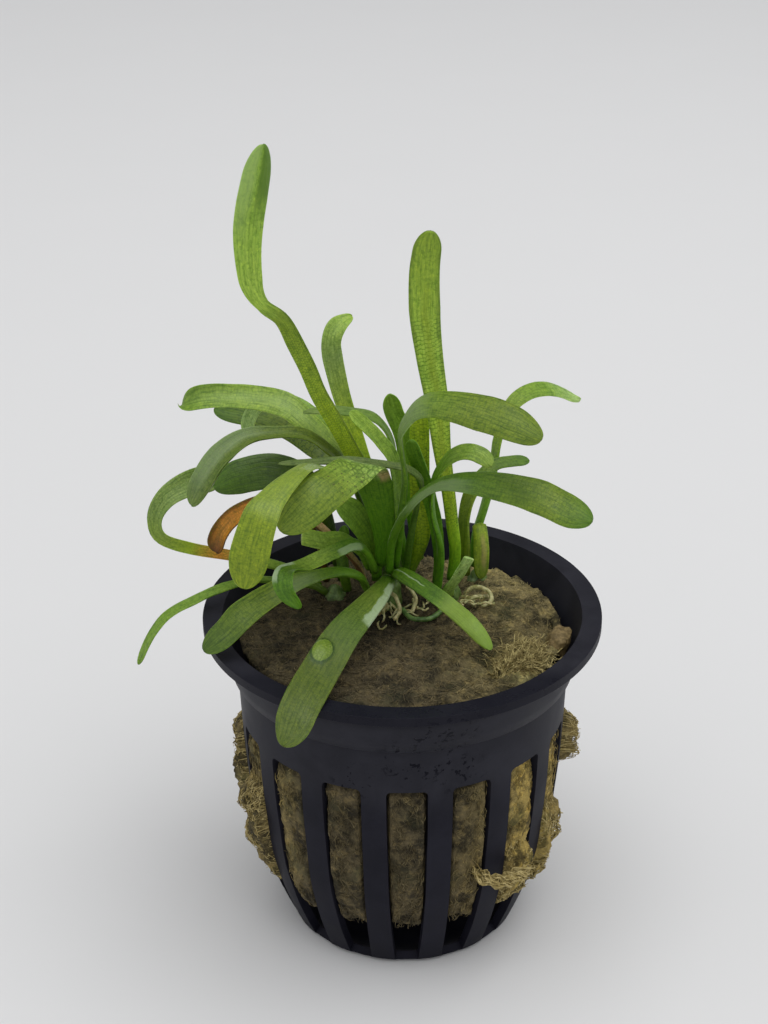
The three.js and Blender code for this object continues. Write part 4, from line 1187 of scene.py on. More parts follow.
def clump_fibres():
    """The pale tangle on the wool at the right of the front."""
    rng = random.Random(15)
    lines = []
    (x0, y0), reach = CLUMP
    for _ in range(CLUMP_SHORT_FIBRES):
        x, y = x0 + rng.gauss(0, 0.42) * reach, y0 + rng.gauss(0, 0.3) * reach
        way = rng.gauss(0.5, 1.1)
        heading = (math.cos(way), math.sin(way), rng.uniform(-0.1, 0.5))
        points = curly(rng, (x, y, 0), heading, length=rng.uniform(1.2, 3.4), curl=0.5, points=5)
        lifted = lay_on_wool(rng, points, share=0.4, low=0, high=0.35)
        lines.append((lifted, rng.uniform(0.04, 0.1)))
    for _ in range(CLUMP_LONG_FIBRES):
        x, y = x0 + rng.gauss(-0.1, 0.35) * reach, y0 + rng.gauss(0, 0.3) * reach
        way = rng.gauss(0.6, 0.5)
        heading = (math.cos(way), math.sin(way), rng.uniform(0, 0.4))
        points = curly(rng, (x, y, 0.5), heading, length=rng.uniform(2.5, 4.5), curl=0.4, points=6)
        lifted = lay_on_wool(rng, points, share=0.5, low=0, high=0.2)
        lines.append((lifted, rng.uniform(0.05, 0.09)))
    return lines


def strand_fibres():
    """The loosely twisted strand of wool across one rib."""
    rng = random.Random(13)
    line = Line(STRAND)
    lines = []
    for _ in range(STRAND_FIBRES):
        start, twist = rng.uniform(0, 0.6), rng.uniform(0, 2 * math.pi)
        reach = rng.uniform(0.2, 0.32)
        wide = rng.uniform(0.2, 1.05)
        points = []
        for k in range(8):
            share = start + reach * k / 7
            way = line.way(share)
            side = way.cross(Vector((0, 0, 1))).normalized()
            turn = twist + share * 12 + rng.gauss(0, 0.5)
            off = side * math.cos(turn) + way.cross(side) * math.sin(turn) * 0.8
            points.append(line.at(share) + off * wide * (1 + 0.3 * math.sin(share * 40)))
        lines.append((points, rng.uniform(0.06, 0.17)))
    return lines


def build_chip(material):
    """The tan chip of compact wool that leans on the inside of the wall."""
    bm = bmesh.new()
    bmesh.ops.create_cube(bm, size=1)
    bmesh.ops.bevel(
        bm, geom=bm.edges[:], offset=0.28, offset_type="OFFSET", segments=2, profile=0.5, affect="EDGES",
        material=-1,
    )
    bmesh.ops.subdivide_edges(bm, edges=bm.edges[:], cuts=4, use_grid_fill=True)
    centre, size, turn, lean = CHIP
    spin = Matrix.Rotation(math.radians(turn), 3, "Z") @ Matrix.Rotation(math.radians(lean), 3, "Y")
    for vert in bm.verts:
        place = spin @ (vert.co * Vector(size)) + Vector(centre)
        vert.co = (place + wobble(place * 0.9) * 0.35 + wobble(place * 3) * 0.1) * MM
    bmesh.ops.recalc_face_normals(bm, faces=bm.faces)
    finish_piece(bm, "wool_chip", material)


def crown_piece(name, crown, material):
    """A short stem of wrapped leaf bases that stands in the wool."""
    (x, y), top, radius = crown
    outline = [(0.01, CROWN_BOTTOM), (radius * 0.8, CROWN_BOTTOM), (radius, CROWN_SHOULDER)]
    outline += [(radius * 0.95, CROWN_SHOULDER + 1.5), (radius * 0.85, top - 1.6)]
    outline += [(radius * 0.65, top - 0.8), (radius * 0.35, top - 0.2), (0.01, top)]
    bm = bmesh.new()
    spin_outline(bm, outline, 36)
    for vert in bm.verts:
        turn = math.atan2(vert.co.y, vert.co.x)
        ridge = 1 + 0.12 * math.cos(5 * turn + vert.co.z * 0.8)
        vert.co = Vector((vert.co.x * ridge + x, vert.co.y * ridge + y, vert.co.z)) * MM
    bmesh.ops.recalc_face_normals(bm, faces=bm.faces)
    piece = finish_piece(bm, f"crown_{name}_stem", material, [f"crown_{name}"])
    return piece


def root_piece(name, points, radius, material):
    """A root as a tapered wandering tube."""
    line = Line(points)
    places = []
    count = 26
    for k in range(count):
        share = k / (count - 1)
        wander = wobble(Vector((share * 4, radius * 10, len(name)))) * 0.18
        places.append(line.at(share) + wander)
    piece = fibre_piece(name + "_tube", [(places, radius * 0.8)], material, 3)
    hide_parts(name)
    return piece


def rootlets():
    """Fine curly roots round the front crown and the right crown."""
    rng = random.Random(21)
    lines = []
    for (x0, y0), wide, count in ROOTLET_PLACES:
        for _ in range(count):
            x, y = x0 + rng.gauss(0, wide), y0 + rng.gauss(0, wide * 0.6)
            heading = (rng.gauss(0, 1), rng.gauss(-0.4, 0.7), rng.uniform(-0.2, 0.9))
            points = curly(rng, (x, y, 0), heading, length=rng.uniform(1.5, 4), curl=0.45, points=8)
            ground = [wool_height(p.x, p.y) for p in points]
            lifted = [Vector((p.x, p.y, max(g + 0.1, g + 0.9 + p.z * 0.8))) for g, p in zip(ground, points)]
            lines.append((lifted, rng.uniform(0.09, 0.2)))
    return lines


# Materials


class Number:
    """A number that a material works out for each point, with arithmetic that adds Math nodes."""

    def __init__(self, paint, socket):
        self.paint = paint
        self.socket = socket

    def maths(self, operation, *values):
        """The result of a Math node on the values."""
        node = self.paint.node("ShaderNodeMath", {"operation": operation}, dict(enumerate(values)))
        return Number(self.paint, node.outputs[0])

    def __add__(self, other):
        return self.maths("ADD", self, other)

    __radd__ = __add__

    def __sub__(self, other):
        return self.maths("SUBTRACT", self, other)

    def __rsub__(self, other):
        return self.maths("SUBTRACT", other, self)

    def __mul__(self, other):
        return self.maths("MULTIPLY", self, other)

    __rmul__ = __mul__

    def __truediv__(self, other):
        return self.maths("DIVIDE", self, other)

    def __pow__(self, other):
        return self.maths("POWER", self, other)

    def __abs__(self):
        return self.maths("ABSOLUTE", self)

    def fraction(self):
        return self.maths("FRACT", self)

    def floor(self):
        return self.maths("FLOOR", self)

    def most(self, other):
        return self.maths("MAXIMUM", self, other)

    def least(self, other):
        return self.maths("MINIMUM", self, other)

    def above(self, low, high):
        """0 below low, 1 above high and smooth between."""
        settings = {"interpolation_type": "SMOOTHSTEP"}
        values = {"Value": self, "From Min": low, "From Max": high}
        return Number(self.paint, self.paint.node("ShaderNodeMapRange", settings, values).outputs[0])

    def below(self, low, high):
        """1 below low, 0 above high and smooth between."""
        return 1 - self.above(low, high)


# Sockets of a Mix node that mixes colours
MIX_FACTOR = 0
MIX_LOW = 6
MIX_HIGH = 7
MIX_COLOR = 2


class Paint:
    """A node tree under construction: a material's, or the one that is given."""

    def __init__(self, name, tree=None):
        self.tree = tree
        if tree is None:
            self.material = bpy.data.materials.new(name)
            self.material.use_nodes = True
            self.tree = self.material.node_tree
            self.tree.nodes.clear()

    def node(self, kind, settings=None, values=None):
        """A node of a type, with its settings made first and then its sockets' values or links."""
        node = self.tree.nodes.new(kind)
        for key, value in (settings or {}).items():
            if key == "stops":
                self.set_stops(node.color_ramp, value)
            else:
                setattr(node, key, value)
        for key, value in (values or {}).items():
            socket = node.inputs[key]
            if isinstance(value, Number):
                value = value.socket
            if isinstance(value, bpy.types.NodeSocket):
                self.tree.links.new(value, socket)
            else:
                socket.default_value = value
        return node

    @staticmethod
    def set_stops(ramp, stops):
        """Gives a colour ramp its places and colours."""
        while len(ramp.elements) < len(stops):
            ramp.elements.new(1)
        for element, (place, color) in zip(ramp.elements, stops):
            element.position = place
            element.color = (*color, 1)

    def coordinates(self, kind="Object"):
        return self.node("ShaderNodeTexCoord").outputs[kind]

    def split(self, vector):
        """The three parts of a vector."""
        node = self.node("ShaderNodeSeparateXYZ", values={0: vector})
        return [Number(self, out) for out in node.outputs]

    def millimetres(self):
        """The point's place in millimetres, as three numbers."""
        return [part / MM for part in self.split(self.coordinates())]

    def gap(self, centre):
        """Distance in metres from a place that is given in millimetres."""
        values = {0: self.coordinates(), 1: Vector(centre) * MM}
        node = self.node("ShaderNodeVectorMath", {"operation": "DISTANCE"}, values)
        return Number(self, node.outputs["Value"])

    def ramp(self, place, stops):
        """Colour along a list of places and colours."""
        return self.node("ShaderNodeValToRGB", {"stops": stops}, {0: place}).outputs[0]

    def noise(self, size_mm, detail=3, roughness=0.55, distortion=0):
        """Noise from 0 to 1 in space, with features of about a size in millimetres."""
        values = {"Scale": 1 / (size_mm * MM), "Detail": detail}
        values.update({"Roughness": roughness, "Distortion": distortion})
        values["Vector"] = self.coordinates()
        return Number(self, self.node("ShaderNodeTexNoise", values=values).outputs[0])

    def cloud(self, x, y, z, detail=3, roughness=0.6):
        """Noise from 0 to 1 over two numbers, with features of about 1."""
        place = self.node("ShaderNodeCombineXYZ", values={0: x, 1: y, 2: z}).outputs[0]
        values = {"Vector": place, "Scale": 1, "Detail": detail, "Roughness": roughness}
        return Number(self, self.node("ShaderNodeTexNoise", values=values).outputs[0])

    def cells(self, x, y, z):
        """Distance from the edges of irregular cells of about 1."""
        place = self.node("ShaderNodeCombineXYZ", values={0: x, 1: y, 2: z}).outputs[0]
        values = {"Vector": place, "Scale": 1}
        node = self.node("ShaderNodeTexVoronoi", {"feature": "DISTANCE_TO_EDGE"}, values)
        return Number(self, node.outputs[0])

    def mix(self, factor, low, high, blend="MIX"):
        """Colour between two colours, or the first multiplied by the second."""
        settings = {"data_type": "RGBA", "blend_type": blend}
        values = {MIX_FACTOR: factor}
        for socket, value in ((MIX_LOW, low), (MIX_HIGH, high)):
            values[socket] = value if isinstance(value, bpy.types.NodeSocket) else (*value, 1)
        return self.node("ShaderNodeMix", settings, values).outputs[MIX_COLOR]

    def tint(self, factor, color, by):
        """The colour, multiplied where the factor is 1."""
        return self.mix(factor, color, by, "MULTIPLY")

    def bump(self, height, strength, distance_mm):
        """The surface's normal, tilted by a height."""
        values = {"Height": height, "Strength": strength, "Distance": distance_mm * MM}
        return self.node("ShaderNodeBump", values=values).outputs[0]

    def surface(self, values):
        """The shader that closes the material."""
        shader = self.node("ShaderNodeBsdfPrincipled", values=values)
        self.node("ShaderNodeOutputMaterial", values={"Surface": shader.outputs[0]})
        return self.material


def tone(color):
    """The linear colour of an sRGB colour given as 0 to 255."""
    return tuple(linear(channel / 255) for channel in color)


def linear(value):
    """One channel from sRGB to linear light."""
    return value / 12.92 if value <= 0.04045 else ((value + 0.055) / 1.055) ** 2.4


class Tissue(Paint):
    """The material of one leaf under construction, with a point's place along and across the leaf."""

    def __init__(self, leaf):
        super().__init__(leaf["name"] + "_tissue")
        self.leaf = leaf
        self.length = Line(leaf["midrib"]).length
        self.seed = leaf_seed(leaf)
        self.across, self.share, _ = self.split(self.coordinates("UV"))
        self.side = (self.across - 0.5) * max(leaf["widths"])
        self.distance = self.share * self.length
        self.drift = self.marks(0.5, 0.35) - 0.5

    def marks(self, across, along, offset=0, detail=3):
        """Noise over the leaf, with so many features to a millimetre across and along it."""
        return self.cloud(self.side * across, self.distance * along, self.seed + offset, detail)

    def cell_edges(self, fineness, offset=0):
        """Distance from the edges of cells over the leaf, so many to a millimetre."""
        return self.cells(self.side * fineness, self.distance * fineness, self.seed + offset)


def leaf_finish(leaf, settings):
    """Green tissue: streaks, veins with rungs between them, patches, some of them painted highlights, painted
    sheen and painted shade, and a damp sheen.
    """
    tissue = Tissue(leaf)
    streaks = tissue.cloud(tissue.side * 3.2 + tissue.drift * 2, tissue.distance * 0.3, tissue.seed + 3, 4)
    flecks = tissue.marks(2.2, 1.3, 9, 5)
    color = leaf_color(tissue, streaks, flecks)
    color, veins = add_veins(tissue, color, settings)
    color, gloss = add_patches(tissue, color)
    if "mosaic" in leaf:
        color = add_mosaic(tissue, color)
    if "spots" in leaf:
        color = add_spots(tissue, color)
    if "blister" in leaf:
        color, gloss = add_blister(tissue, color, gloss)
    color = add_margin(tissue, color)
    damp = tissue.noise(2.6, 2, distortion=0.5).above(0.55, 0.63)
    sheen = gloss * 0.18 + damp * 0.1
    return tissue.surface({
        "Base Color": color,
        "Roughness": 0.44 + flecks * 0.12 - sheen,
        "Normal": tissue.bump(veins * -0.5 + streaks * 0.6 + flecks * 0.5, 0.4, 0.12),
        "Subsurface Weight": 0.2,
        "Subsurface Radius": (0.5, 0.8, 0.2),
        "Subsurface Scale": 0.0009,
        "IOR": 1.4,
    })


def leaf_color(tissue, streaks, flecks):
    """The leaf's tones along its length, with streaks, flecks, specks and blotches."""
    leaf = tissue.leaf
    stops = []
    for place, color in leaf["colors"]:
        stops.append((place, tuple(leaf["shade"] * channel for channel in tone(color))))
    color = tissue.ramp(tissue.share + tissue.drift * 0.04, stops)
    strength = 0.75 * leaf.get("streaks", 1)
    color = tissue.tint(streaks.above(0.42, 0.68) * strength, color, STREAK_TINT)
    color = tissue.tint(flecks.above(0.5, 0.74), color, FLECK_TINT)
    specks = tissue.marks(1.6, 1.5, 23, 5)
    color = tissue.tint(specks.above(0.5, 0.6) * 0.6, color, SPECK_TINT)
    blotches = tissue.marks(0.6, 0.5, 17, 4)
    return tissue.tint(blotches.above(0.52, 0.66) * 0.5, color, BLOTCH_TINT)


def add_veins(tissue, color, settings):
    """Lengthwise veins to the tip, and rungs across the strips between them. Returns the veins too."""
    strip = (tissue.across + tissue.drift * 0.06) * (settings.veins + 1)
    lines = (abs(strip.fraction() - 0.5) * 2).above(0.72, 0.98)
    start, end, spacing, strength = tissue.leaf.get("ladder", PLAIN_LADDER)
    jump = tissue.cloud(strip.floor() * 7.3, tissue.seed, 0, 0) * 5
    rung = (tissue.distance / spacing + jump + tissue.drift * 2.5).fraction()
    low, high = start * tissue.length, end * tissue.length
    band = tissue.distance.above(low, low + 3) * tissue.distance.below(high - 3, high)
    ladder = (abs(rung - 0.5) * 2).above(0.62, 0.95) * band * strength
    fade = tissue.distance.above(tissue.length * 0.1, tissue.length * 0.4)
    shown = (lines * 0.3 * fade + ladder * 0.5) * settings.vein_strength
    return tissue.tint(shown, color, VEIN_TINT), lines.most(ladder)


def add_patches(tissue, color):
    """Patches of other tones, some of them painted highlights, painted sheen and painted shade. Returns their
    gloss too.
    """
    gloss = 0
    along = tissue.share + tissue.drift * 0.06
    across = tissue.across + tissue.drift * 0.35
    for patch in tissue.leaf.get("patches", ()):
        soft = patch.get("soft", 0.015)
        start, end = patch["share"]
        left, right = patch["across"]
        mask = along.above(start - soft, start + soft) * along.below(end - soft, end + soft)
        mask = mask * across.above(left - soft * 2, left + soft * 2)
        mask = mask * across.below(right - soft * 2, right + soft * 2)
        color = tissue.mix(mask * patch["strength"], color, tone(patch["color"]))
        gloss = mask * patch.get("gloss", 0) + gloss
    return color, gloss


def add_mosaic(tissue, color):
    """Pale cells with darker edges over part of a leaf."""
    start, end, size = tissue.leaf["mosaic"]
    mask = tissue.share.above(start, start + 0.03) * tissue.share.below(end - 0.08, end)
    edges = tissue.cell_edges(1.2 / size).below(0.06, 0.2)
    color = tissue.tint(mask * edges * 0.9, color, CELL_TINT)
    fine_edges = tissue.cell_edges(3 / size, 4).below(0.02, 0.16)
    return tissue.tint(mask * fine_edges * 0.4, color, FINE_CELL_TINT)


def add_spots(tissue, color):
    """Small dark spots over part of a leaf."""
    start, end = tissue.leaf["spots"]
    spots = tissue.marks(2.4, 2.4, 31, 2).above(0.6, 0.66)
    spots = spots * tissue.share.above(start, start + 0.03) * tissue.share.below(end - 0.03, end)
    return tissue.mix(spots * 0.75, color, SPOT_COLOR)


def add_blister(tissue, color, gloss):
    """A raised pale blister with a dark foot. Returns the gloss with the blister's."""
    share, across, long_radius, wide_radius = tissue.leaf["blister"]
    along = (tissue.distance - share * tissue.length) / long_radius
    aside = (tissue.side - (across - 0.5) * BLISTER_SPAN) / wide_radius
    off = (along * along + aside * aside) ** 0.5
    edges = tissue.cell_edges(2.2).below(0.02, 0.2)
    dome = off.below(0.92, 1.0)
    color = tissue.mix(off.below(1.05, 1.3) * off.above(0.85, 1.0) * 0.7, color, BLISTER_FOOT)
    color = tissue.mix(dome * 0.55, color, tone(PALE))
    return tissue.tint(dome * edges * 0.6, color, BLISTER_TINT), gloss + dome * 0.8


def add_margin(tissue, color):
    """A broad margin of the leaf's own tone for it, or else a thin pale one."""
    edge = abs(tissue.across - 0.5) * 2
    if "margin" in tissue.leaf:
        return tissue.mix(edge.above(0.6, 0.95) * 0.85, color, tone(tissue.leaf["margin"]))
    thin = edge.above(0.965, 0.99) * tissue.share.above(0.25, 0.45)
    return tissue.tint(thin * 0.8, color, MARGIN_TINT)


def pot_plastic(settings):
    """Near-black satin plastic with a dried film and darker damp marks."""
    paint = Paint("pot_plastic")
    _, y, z = paint.millimetres()
    film = paint.noise(7, 5, 0.6, 0.4).above(0.35, 0.7)
    grain = paint.noise(0.35, 2)
    drops = paint.noise(1.3, 3, 0.7, 0.3).above(0.57, 0.63)
    wet = 0
    for centre, reach in WET_PLACES:
        wet = paint.gap(centre).below(reach * 0.4 * MM, reach * MM) + wet
    marks = drops * wet.least(1)
    color = paint.mix(film, settings.color[:], settings.film_color[:])
    color = paint.mix(marks * 0.95, color, DAMP_PLASTIC)
    wet_rim = y.below(-19, -14) * z.above(44.5, 46)
    color = paint.mix(wet_rim * 0.6, color, WET_RIM)
    color = paint.tint(z.below(28, 35) * 0.8, color, WALL_TINT)
    color = paint.tint(z.below(1, 12) * 0.6, color, FOOT_TINT)
    return paint.surface({
        "Base Color": color,
        "Roughness": 0.42 + film * 0.12 + grain * 0.06 - marks * 0.28 - wet_rim * 0.22,
        "Normal": paint.bump(grain, 0.12, 0.08),
        "Specular IOR Level": 0.08,
    })


def wool_finish(settings):
    """Matted brown wool, darker where it's wet and yellow at the clump, with painted shade in its pits, its
    hollows and at its left, and painted light on its crests and at its right and back.
    """
    paint = Paint("wool_felt")
    x, y, z = paint.millimetres()
    clumps = paint.noise(3.2, 5, 0.65)
    grain = paint.noise(0.45, 4, 0.75)
    green = paint.noise(5.5, 3).above(0.5, 0.72)
    color = paint.mix(clumps.above(0.36, 0.6), settings.dark[:], settings.brown[:])
    color = paint.mix(grain.above(0.46, 0.76) * 0.7, color, settings.straw[:])
    color = paint.mix(green * 0.6, color, settings.green[:])
    # Painted shade in small pits of the felt
    shaded_pits = paint.noise(1.4, 4, 0.7, 0.4).above(0.56, 0.68)
    color = paint.tint(shaded_pits * 0.65, color, PAINTED_PIT_SHADE_TINT)
    centre, reach = CLUMP
    clump = away(x, y, centre).below(reach * 0.5, reach * 1.3) * z.above(*TOP_HEIGHTS)
    color = paint.mix(clump * 0.55, color, settings.clump[:])
    color = damp_and_shade_wool(paint, color, x, y, z)
    color = lighten_wool(paint, lump_light_and_shade(paint, color), x, y, z)
    return paint.surface({
        "Base Color": color,
        "Roughness": 0.8 + grain * 0.15,
        "Normal": paint.bump(grain, 0.8, 0.35),
        "Specular IOR Level": 0.25,
    })


def away(x, y, centre):
    """Distance from an upright line through a place."""
    right, back = x - centre[0], y - centre[1]
    return (right * right + back * back) ** 0.5


def damp_and_shade_wool(paint, color, x, y, z):
    """Darker wool on top: damp around the crowns, and painted shade at the left and in the pit beside the
    tangle.
    """
    top = z.above(*DAMP_HEIGHTS)
    color = paint.tint(away(x, y, DAMP_CENTRE).below(2, 12) * top * 0.7, color, DAMP_RING_TINT)
    # Painted shade over the left of the top
    color = paint.tint(x.below(-22, 2) * top * 0.4, color, PAINTED_SHADE_LEFT_TINT)
    # Painted shade in the pit beside the tangle
    centre, reach, _ = WOOL_PITS[0]
    pit = away(x, y, centre).below(reach * 0.6, reach * 1.5) * top
    return paint.tint(pit * 0.8, color, PAINTED_SHADE_DEEP_PIT_TINT)


def lump_light_and_shade(paint, color):
    """Painted shade in the hollows and painted light on the warm crests of matted wool."""
    shaded_hollow = paint.noise(3.2, 5, 0.65).below(0.42, 0.54)
    color = paint.tint(shaded_hollow * 0.55, color, PAINTED_HOLLOW_SHADE_TINT)
    lit_crest = paint.noise(1.1, 3, 0.7).above(0.5, 0.62)
    return paint.tint(lit_crest * 0.7, color, PAINTED_CREST_LIGHT_TINT)


def lighten_wool(paint, color, x, y, z):
    """Lighter wool: painted light at the right and the back of the top, and paler wool at both sides of the
    pot.
    """
    top = z.above(*TOP_HEIGHTS)
    low = z.below(*SIDE_HEIGHTS)
    # Painted light over the right and the back of the top
    color = paint.tint(x.above(1, 14) * top, color, PAINTED_LIGHT_RIGHT_TINT)
    color = paint.tint(y.above(6, 16) * top, color, PAINTED_LIGHT_BACK_TINT)
    color = paint.tint((x.above(4, 15) + x.below(-17, -13)) * low, color, PALE_SIDES_TINT)
    return paint.tint(x.above(13, 17) * y.below(-14, -3) * low, color, YELLOW_FRONT_RIGHT_TINT)


def fibre_finish(name, low, high, size=1.2, matted=False, damp=False):
    """Thin fibres with patches of colour, matted or damp like the wool on which they lie, with the same
    painted light and shade as that wool.
    """
    paint = Paint(name)
    patch = paint.noise(size, 3, 0.7)
    color = paint.mix(patch.above(0.35, 0.7), low, high)
    place = paint.millimetres()
    # Matted fibres take the wool's painted light and shade on lumps, its painted light at the right and the
    # back, and its paler sides
    if matted:
        color = lighten_wool(paint, lump_light_and_shade(paint, color), *place)
    # Damp fibres take the wool's damp ring and its painted shade at the left and in the pit
    if damp:
        color = damp_and_shade_wool(paint, color, *place)
    return paint.surface({"Base Color": color, "Roughness": 0.65, "Specular IOR Level": 0.3})


def stem_finish(name, low, high):
    """Pale fibrous stem or root with fine streaks."""
    paint = Paint(name)
    streak = paint.noise(0.6, 3)
    color = paint.mix(streak.above(0.3, 0.7), low, high)
    return paint.surface({
        "Base Color": color,
        "Roughness": 0.42,
        "Normal": paint.bump(streak, 0.3, 0.1),
        "Subsurface Weight": 0.1,
        "Subsurface Scale": 0.0006,
    })


def floor_finish(color):
    """Smooth pale paper."""
    paint = Paint("floor_paper")
    speck = paint.noise(40, 2)
    shade = [channel * 0.985 for channel in color]
    color = paint.mix(speck, color, shade)
    return paint.surface({"Base Color": color, "Roughness": 0.9, "Specular IOR Level": 0.1})


# Settings


class PotSettings(bpy.types.PropertyGroup):
    color: bpy.props.FloatVectorProperty(
        name="Plastic", description="Colour of the bare plastic", subtype="COLOR",
        default=(0.017, 0.017, 0.023)
    )
    film_color: bpy.props.FloatVectorProperty(
        name="Film", description="Colour where a thin film has dried", subtype="COLOR",
        default=(0.026, 0.026, 0.034)
    )


class WoolSettings(bpy.types.PropertyGroup):
    top_fibres: bpy.props.IntProperty(
        name="Surface fibres", description="Fibres matted on the surface", default=6200, min=0
    )
    slot_fibres: bpy.props.IntProperty(
        name="Slot fibres", description="Fibres on the wool in the slots", default=5200, min=0
    )
    dark: bpy.props.FloatVectorProperty(
        name="Wet wool", description="Colour of the wet hollows", subtype="COLOR",
        default=(0.026, 0.021, 0.011)
    )
    brown: bpy.props.FloatVectorProperty(
        name="Wool", description="Main colour of the wool", subtype="COLOR",
        default=(0.095, 0.075, 0.038)
    )
    straw: bpy.props.FloatVectorProperty(
        name="Fibre", description="Colour of the lighter fibres", subtype="COLOR",
        default=(0.17, 0.135, 0.07)
    )
    green: bpy.props.FloatVectorProperty(
        name="Algae", description="Colour of the green film", subtype="COLOR",
        default=(0.045, 0.046, 0.022)
    )
    clump: bpy.props.FloatVectorProperty(
        name="Clump", description="Colour of the pale tangle", subtype="COLOR",
        default=(0.3, 0.26, 0.12)
    )


class LeafSettings(bpy.types.PropertyGroup):
    veins: bpy.props.IntProperty(name="Veins", description="Lengthwise veins in a leaf", default=7, min=1)
    vein_strength: bpy.props.FloatProperty(
        name="Vein strength", description="How much the veins show", default=1, min=0, max=2, subtype="FACTOR"
    )


class StageSettings(bpy.types.PropertyGroup):
    floor: bpy.props.FloatVectorProperty(
        name="Floor", description="Colour of the floor and backdrop", subtype="COLOR",
        default=(0.74, 0.74, 0.74)
    )
    power: bpy.props.FloatProperty(
        name="Main light", description="Power of the large soft light above", default=4.4, unit="POWER"
    )
    sky: bpy.props.FloatProperty(
        name="Sky", description="Strength of the light all round", default=0.78, min=0
    )
    sky_dimming: bpy.props.FloatProperty(
        name="Sky dimming", description="How much less light comes from behind", default=0.8, min=0, max=1
    )
    lens: bpy.props.FloatProperty(
        name="Lens", description="Focal length of the camera", default=64.16, subtype="DISTANCE_CAMERA"
    )


# Operators


class SAGITTARIA_OT_pot(bpy.types.Operator):
    """Build the slotted net pot."""

    bl_idname = "sagittaria.pot"
    bl_label = "Net pot"

    def execute(self, context):
        build_pot(context.scene.sagittaria_pot)
        return {"FINISHED"}


class SAGITTARIA_OT_wool(bpy.types.Operator):
    """Build the wad of wool and its fibres."""

    bl_idname = "sagittaria.wool"
    bl_label = "Wool"

    def execute(self, context):
        settings = context.scene.sagittaria_wool
        build_wool(settings)
        surface = fibre_finish(
            "surface_fibre", settings.brown[:], settings.straw[:], matted=True, damp=True
        )
        slot = fibre_finish("slot_fibre", *SLOT_FIBRE, size=1.6, matted=True)
        tuft = fibre_finish("tuft_fibre", *TUFT_FIBRE, size=1)
        pale = fibre_finish("clump_fibre", *CLUMP_FIBRE, size=1.4)
        for name, lines, material in (
            ("wool_fibres_top", surface_fibres(settings.top_fibres), surface),
            ("wool_fibres_slots", slot_fibres(settings.slot_fibres), slot),
            ("wool_fibres_tufts", tuft_fibres(), tuft),
            ("wool_clump", clump_fibres(), pale),
            ("wool_strand", strand_fibres(), tuft),
        ):
            fibre_piece(name, lines, material)
        build_chip(fibre_finish("chip_felt", *CHIP_FELT, size=0.7))
        return {"FINISHED"}


class SAGITTARIA_OT_crowns(bpy.types.Operator):
    """Build the crowns, the roots and the runner."""

    bl_idname = "sagittaria.crowns"
    bl_label = "Crowns and roots"

    def execute(self, context):
        crown_material = stem_finish("crown_tissue", *CROWN_TISSUE)
        for name, crown in CROWNS.items():
            crown_piece(name, crown, crown_material)
        pale = stem_finish("root_tissue", *ROOT_TISSUE)
        green = stem_finish("runner_tissue", *RUNNER_TISSUE)
        for name, (points, radius) in ROOTS.items():
            root_piece(name, points, radius, green if name == "runner" else pale)
        fibre_piece("rootlets", rootlets(), pale, 1)
        return {"FINISHED"}


class SAGITTARIA_OT_leaves(bpy.types.Operator):
    """Grow every leaf along its midrib."""

    bl_idname = "sagittaria.leaves"
    bl_label = "Leaves"

    def execute(self, context):
        settings = context.scene.sagittaria_leaves
        for leaf in LEAVES:
            grow_leaf(leaf, leaf_finish(leaf, settings))
        return {"FINISHED"}


class SAGITTARIA_OT_stage(bpy.types.Operator):
    """Set up the floor, the soft lights and the camera."""

    bl_idname = "sagittaria.stage"
    bl_label = "Stage"

    def execute(self, context):
        settings = context.scene.sagittaria_stage
        build_floor(settings)
        build_lights(settings)
        build_camera(context.scene, settings)
        return {"FINISHED"}


def build_floor(settings):
    """A wide pale floor."""
    bm = bmesh.new()
    bmesh.ops.create_grid(bm, x_segments=1, y_segments=1, size=FLOOR_HALF)
    mesh = bpy.data.meshes.new("floor")
    bm.to_mesh(mesh)
    bm.free()
    mesh.materials.append(floor_finish(settings.floor[:]))
    floor = bpy.data.objects.new("floor", mesh)
    bpy.context.scene.collection.objects.link(floor)


def build_lights(settings):
    """A soft light overhead and a pale sky that is dimmer behind the plant."""
    data = bpy.data.lights.new("overhead", "AREA")
    data.shape = "SQUARE"
    data.size = LIGHT_SIZE
    data.energy = settings.power
    lamp = bpy.data.objects.new("overhead", data)
    lamp.location = LIGHT_PLACE
    aim = Vector(LIGHT_TARGET) - Vector(LIGHT_PLACE)
    lamp.rotation_euler = aim.to_track_quat("-Z", "Y").to_euler()
    bpy.context.scene.collection.objects.link(lamp)
    world = bpy.data.worlds.new("sky")
    world.use_nodes = True
    paint = Paint("sky", world.node_tree)
    _, y, z = paint.split(paint.coordinates("Generated"))
    dim = y.above(0.15, 0.65) * z.above(0.02, 0.3)
    strength = (1 - dim * settings.sky_dimming) * settings.sky
    background = world.node_tree.nodes["Background"]
    background.inputs["Color"].default_value = SKY_COLOR
    world.node_tree.links.new(strength.socket, background.inputs["Strength"])
    bpy.context.scene.world = world


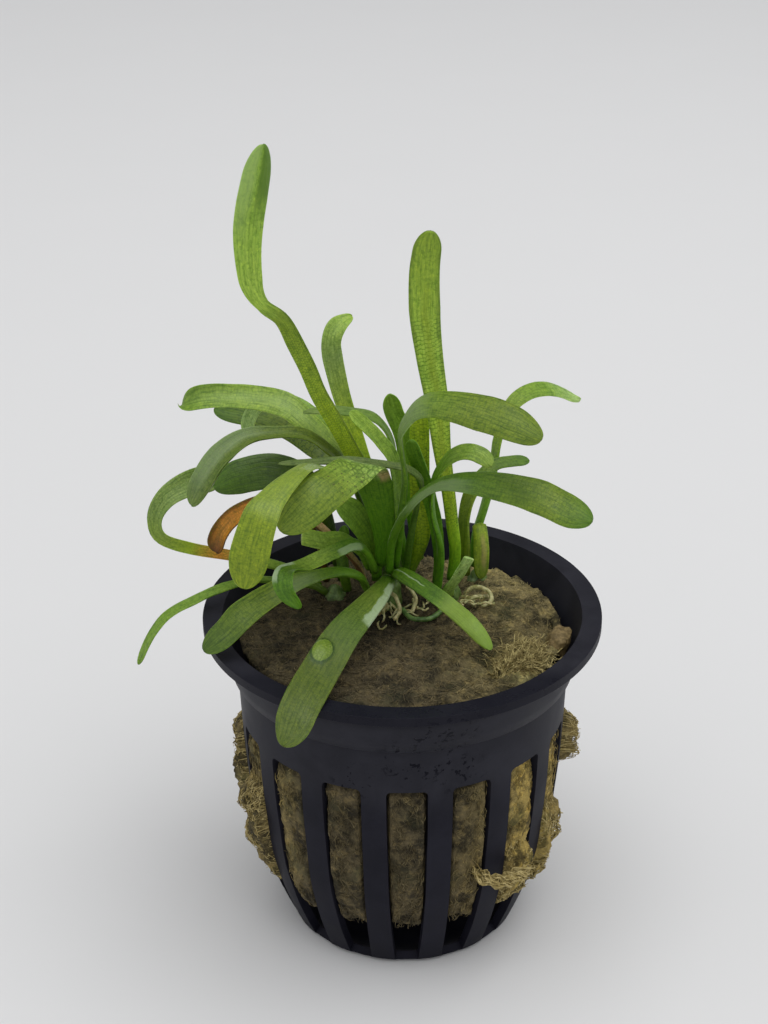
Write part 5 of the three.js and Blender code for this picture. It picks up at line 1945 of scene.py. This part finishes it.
def build_camera(scene, settings):
    """The camera, placed by the angle from which the pot is seen."""
    data = bpy.data.cameras.new("camera")
    data.lens = settings.lens
    data.sensor_fit = "VERTICAL"
    data.sensor_height = SENSOR_HEIGHT
    data.clip_start = 0.01
    camera = bpy.data.objects.new("camera", data)
    pitch, yaw, roll = (math.radians(angle) for angle in CAMERA_TURN)
    turn = Matrix.Rotation(-yaw, 4, "Z") @ Matrix.Rotation(math.pi / 2 - pitch, 4, "X")
    turn = turn @ Matrix.Rotation(roll, 4, "Z")
    camera.matrix_world = Matrix.Translation(Vector(CAMERA_PLACE) * MM) @ turn
    scene.collection.objects.link(camera)
    scene.camera = camera
    scene.view_settings.view_transform = "Standard"


class SAGITTARIA_PT_panel(bpy.types.Panel):
    """Lists the settings and the operators of the plant."""

    bl_idname = "SAGITTARIA_PT_panel"
    bl_label = "Sagittaria"
    bl_space_type = "VIEW_3D"
    bl_region_type = "UI"
    bl_category = "Sagittaria"

    def draw(self, context):
        for operator, group in STEPS:
            box = self.layout.box()
            box.operator(operator.bl_idname)
            settings = getattr(context.scene, group) if group else None
            for key in settings.__annotations__ if settings else ():
                box.prop(settings, key)


GROUPS = {
    "sagittaria_pot": PotSettings,
    "sagittaria_wool": WoolSettings,
    "sagittaria_leaves": LeafSettings,
    "sagittaria_stage": StageSettings,
}
STEPS = [
    (SAGITTARIA_OT_pot, "sagittaria_pot"),
    (SAGITTARIA_OT_wool, "sagittaria_wool"),
    (SAGITTARIA_OT_crowns, None),
    (SAGITTARIA_OT_leaves, "sagittaria_leaves"),
    (SAGITTARIA_OT_stage, "sagittaria_stage"),
]
CLASSES = [*GROUPS.values(), *(operator for operator, _ in STEPS), SAGITTARIA_PT_panel]


def register():
    for item in CLASSES:
        bpy.utils.register_class(item)
    for name, group in GROUPS.items():
        setattr(bpy.types.Scene, name, bpy.props.PointerProperty(type=group))


def unregister():
    for name in GROUPS:
        delattr(bpy.types.Scene, name)
    for item in reversed(CLASSES):
        bpy.utils.unregister_class(item)


def main():
    register()
    for operator, _ in STEPS:
        group, name = operator.bl_idname.split(".")
        getattr(getattr(bpy.ops, group), name)()


if __name__ == "__main__":
    main()
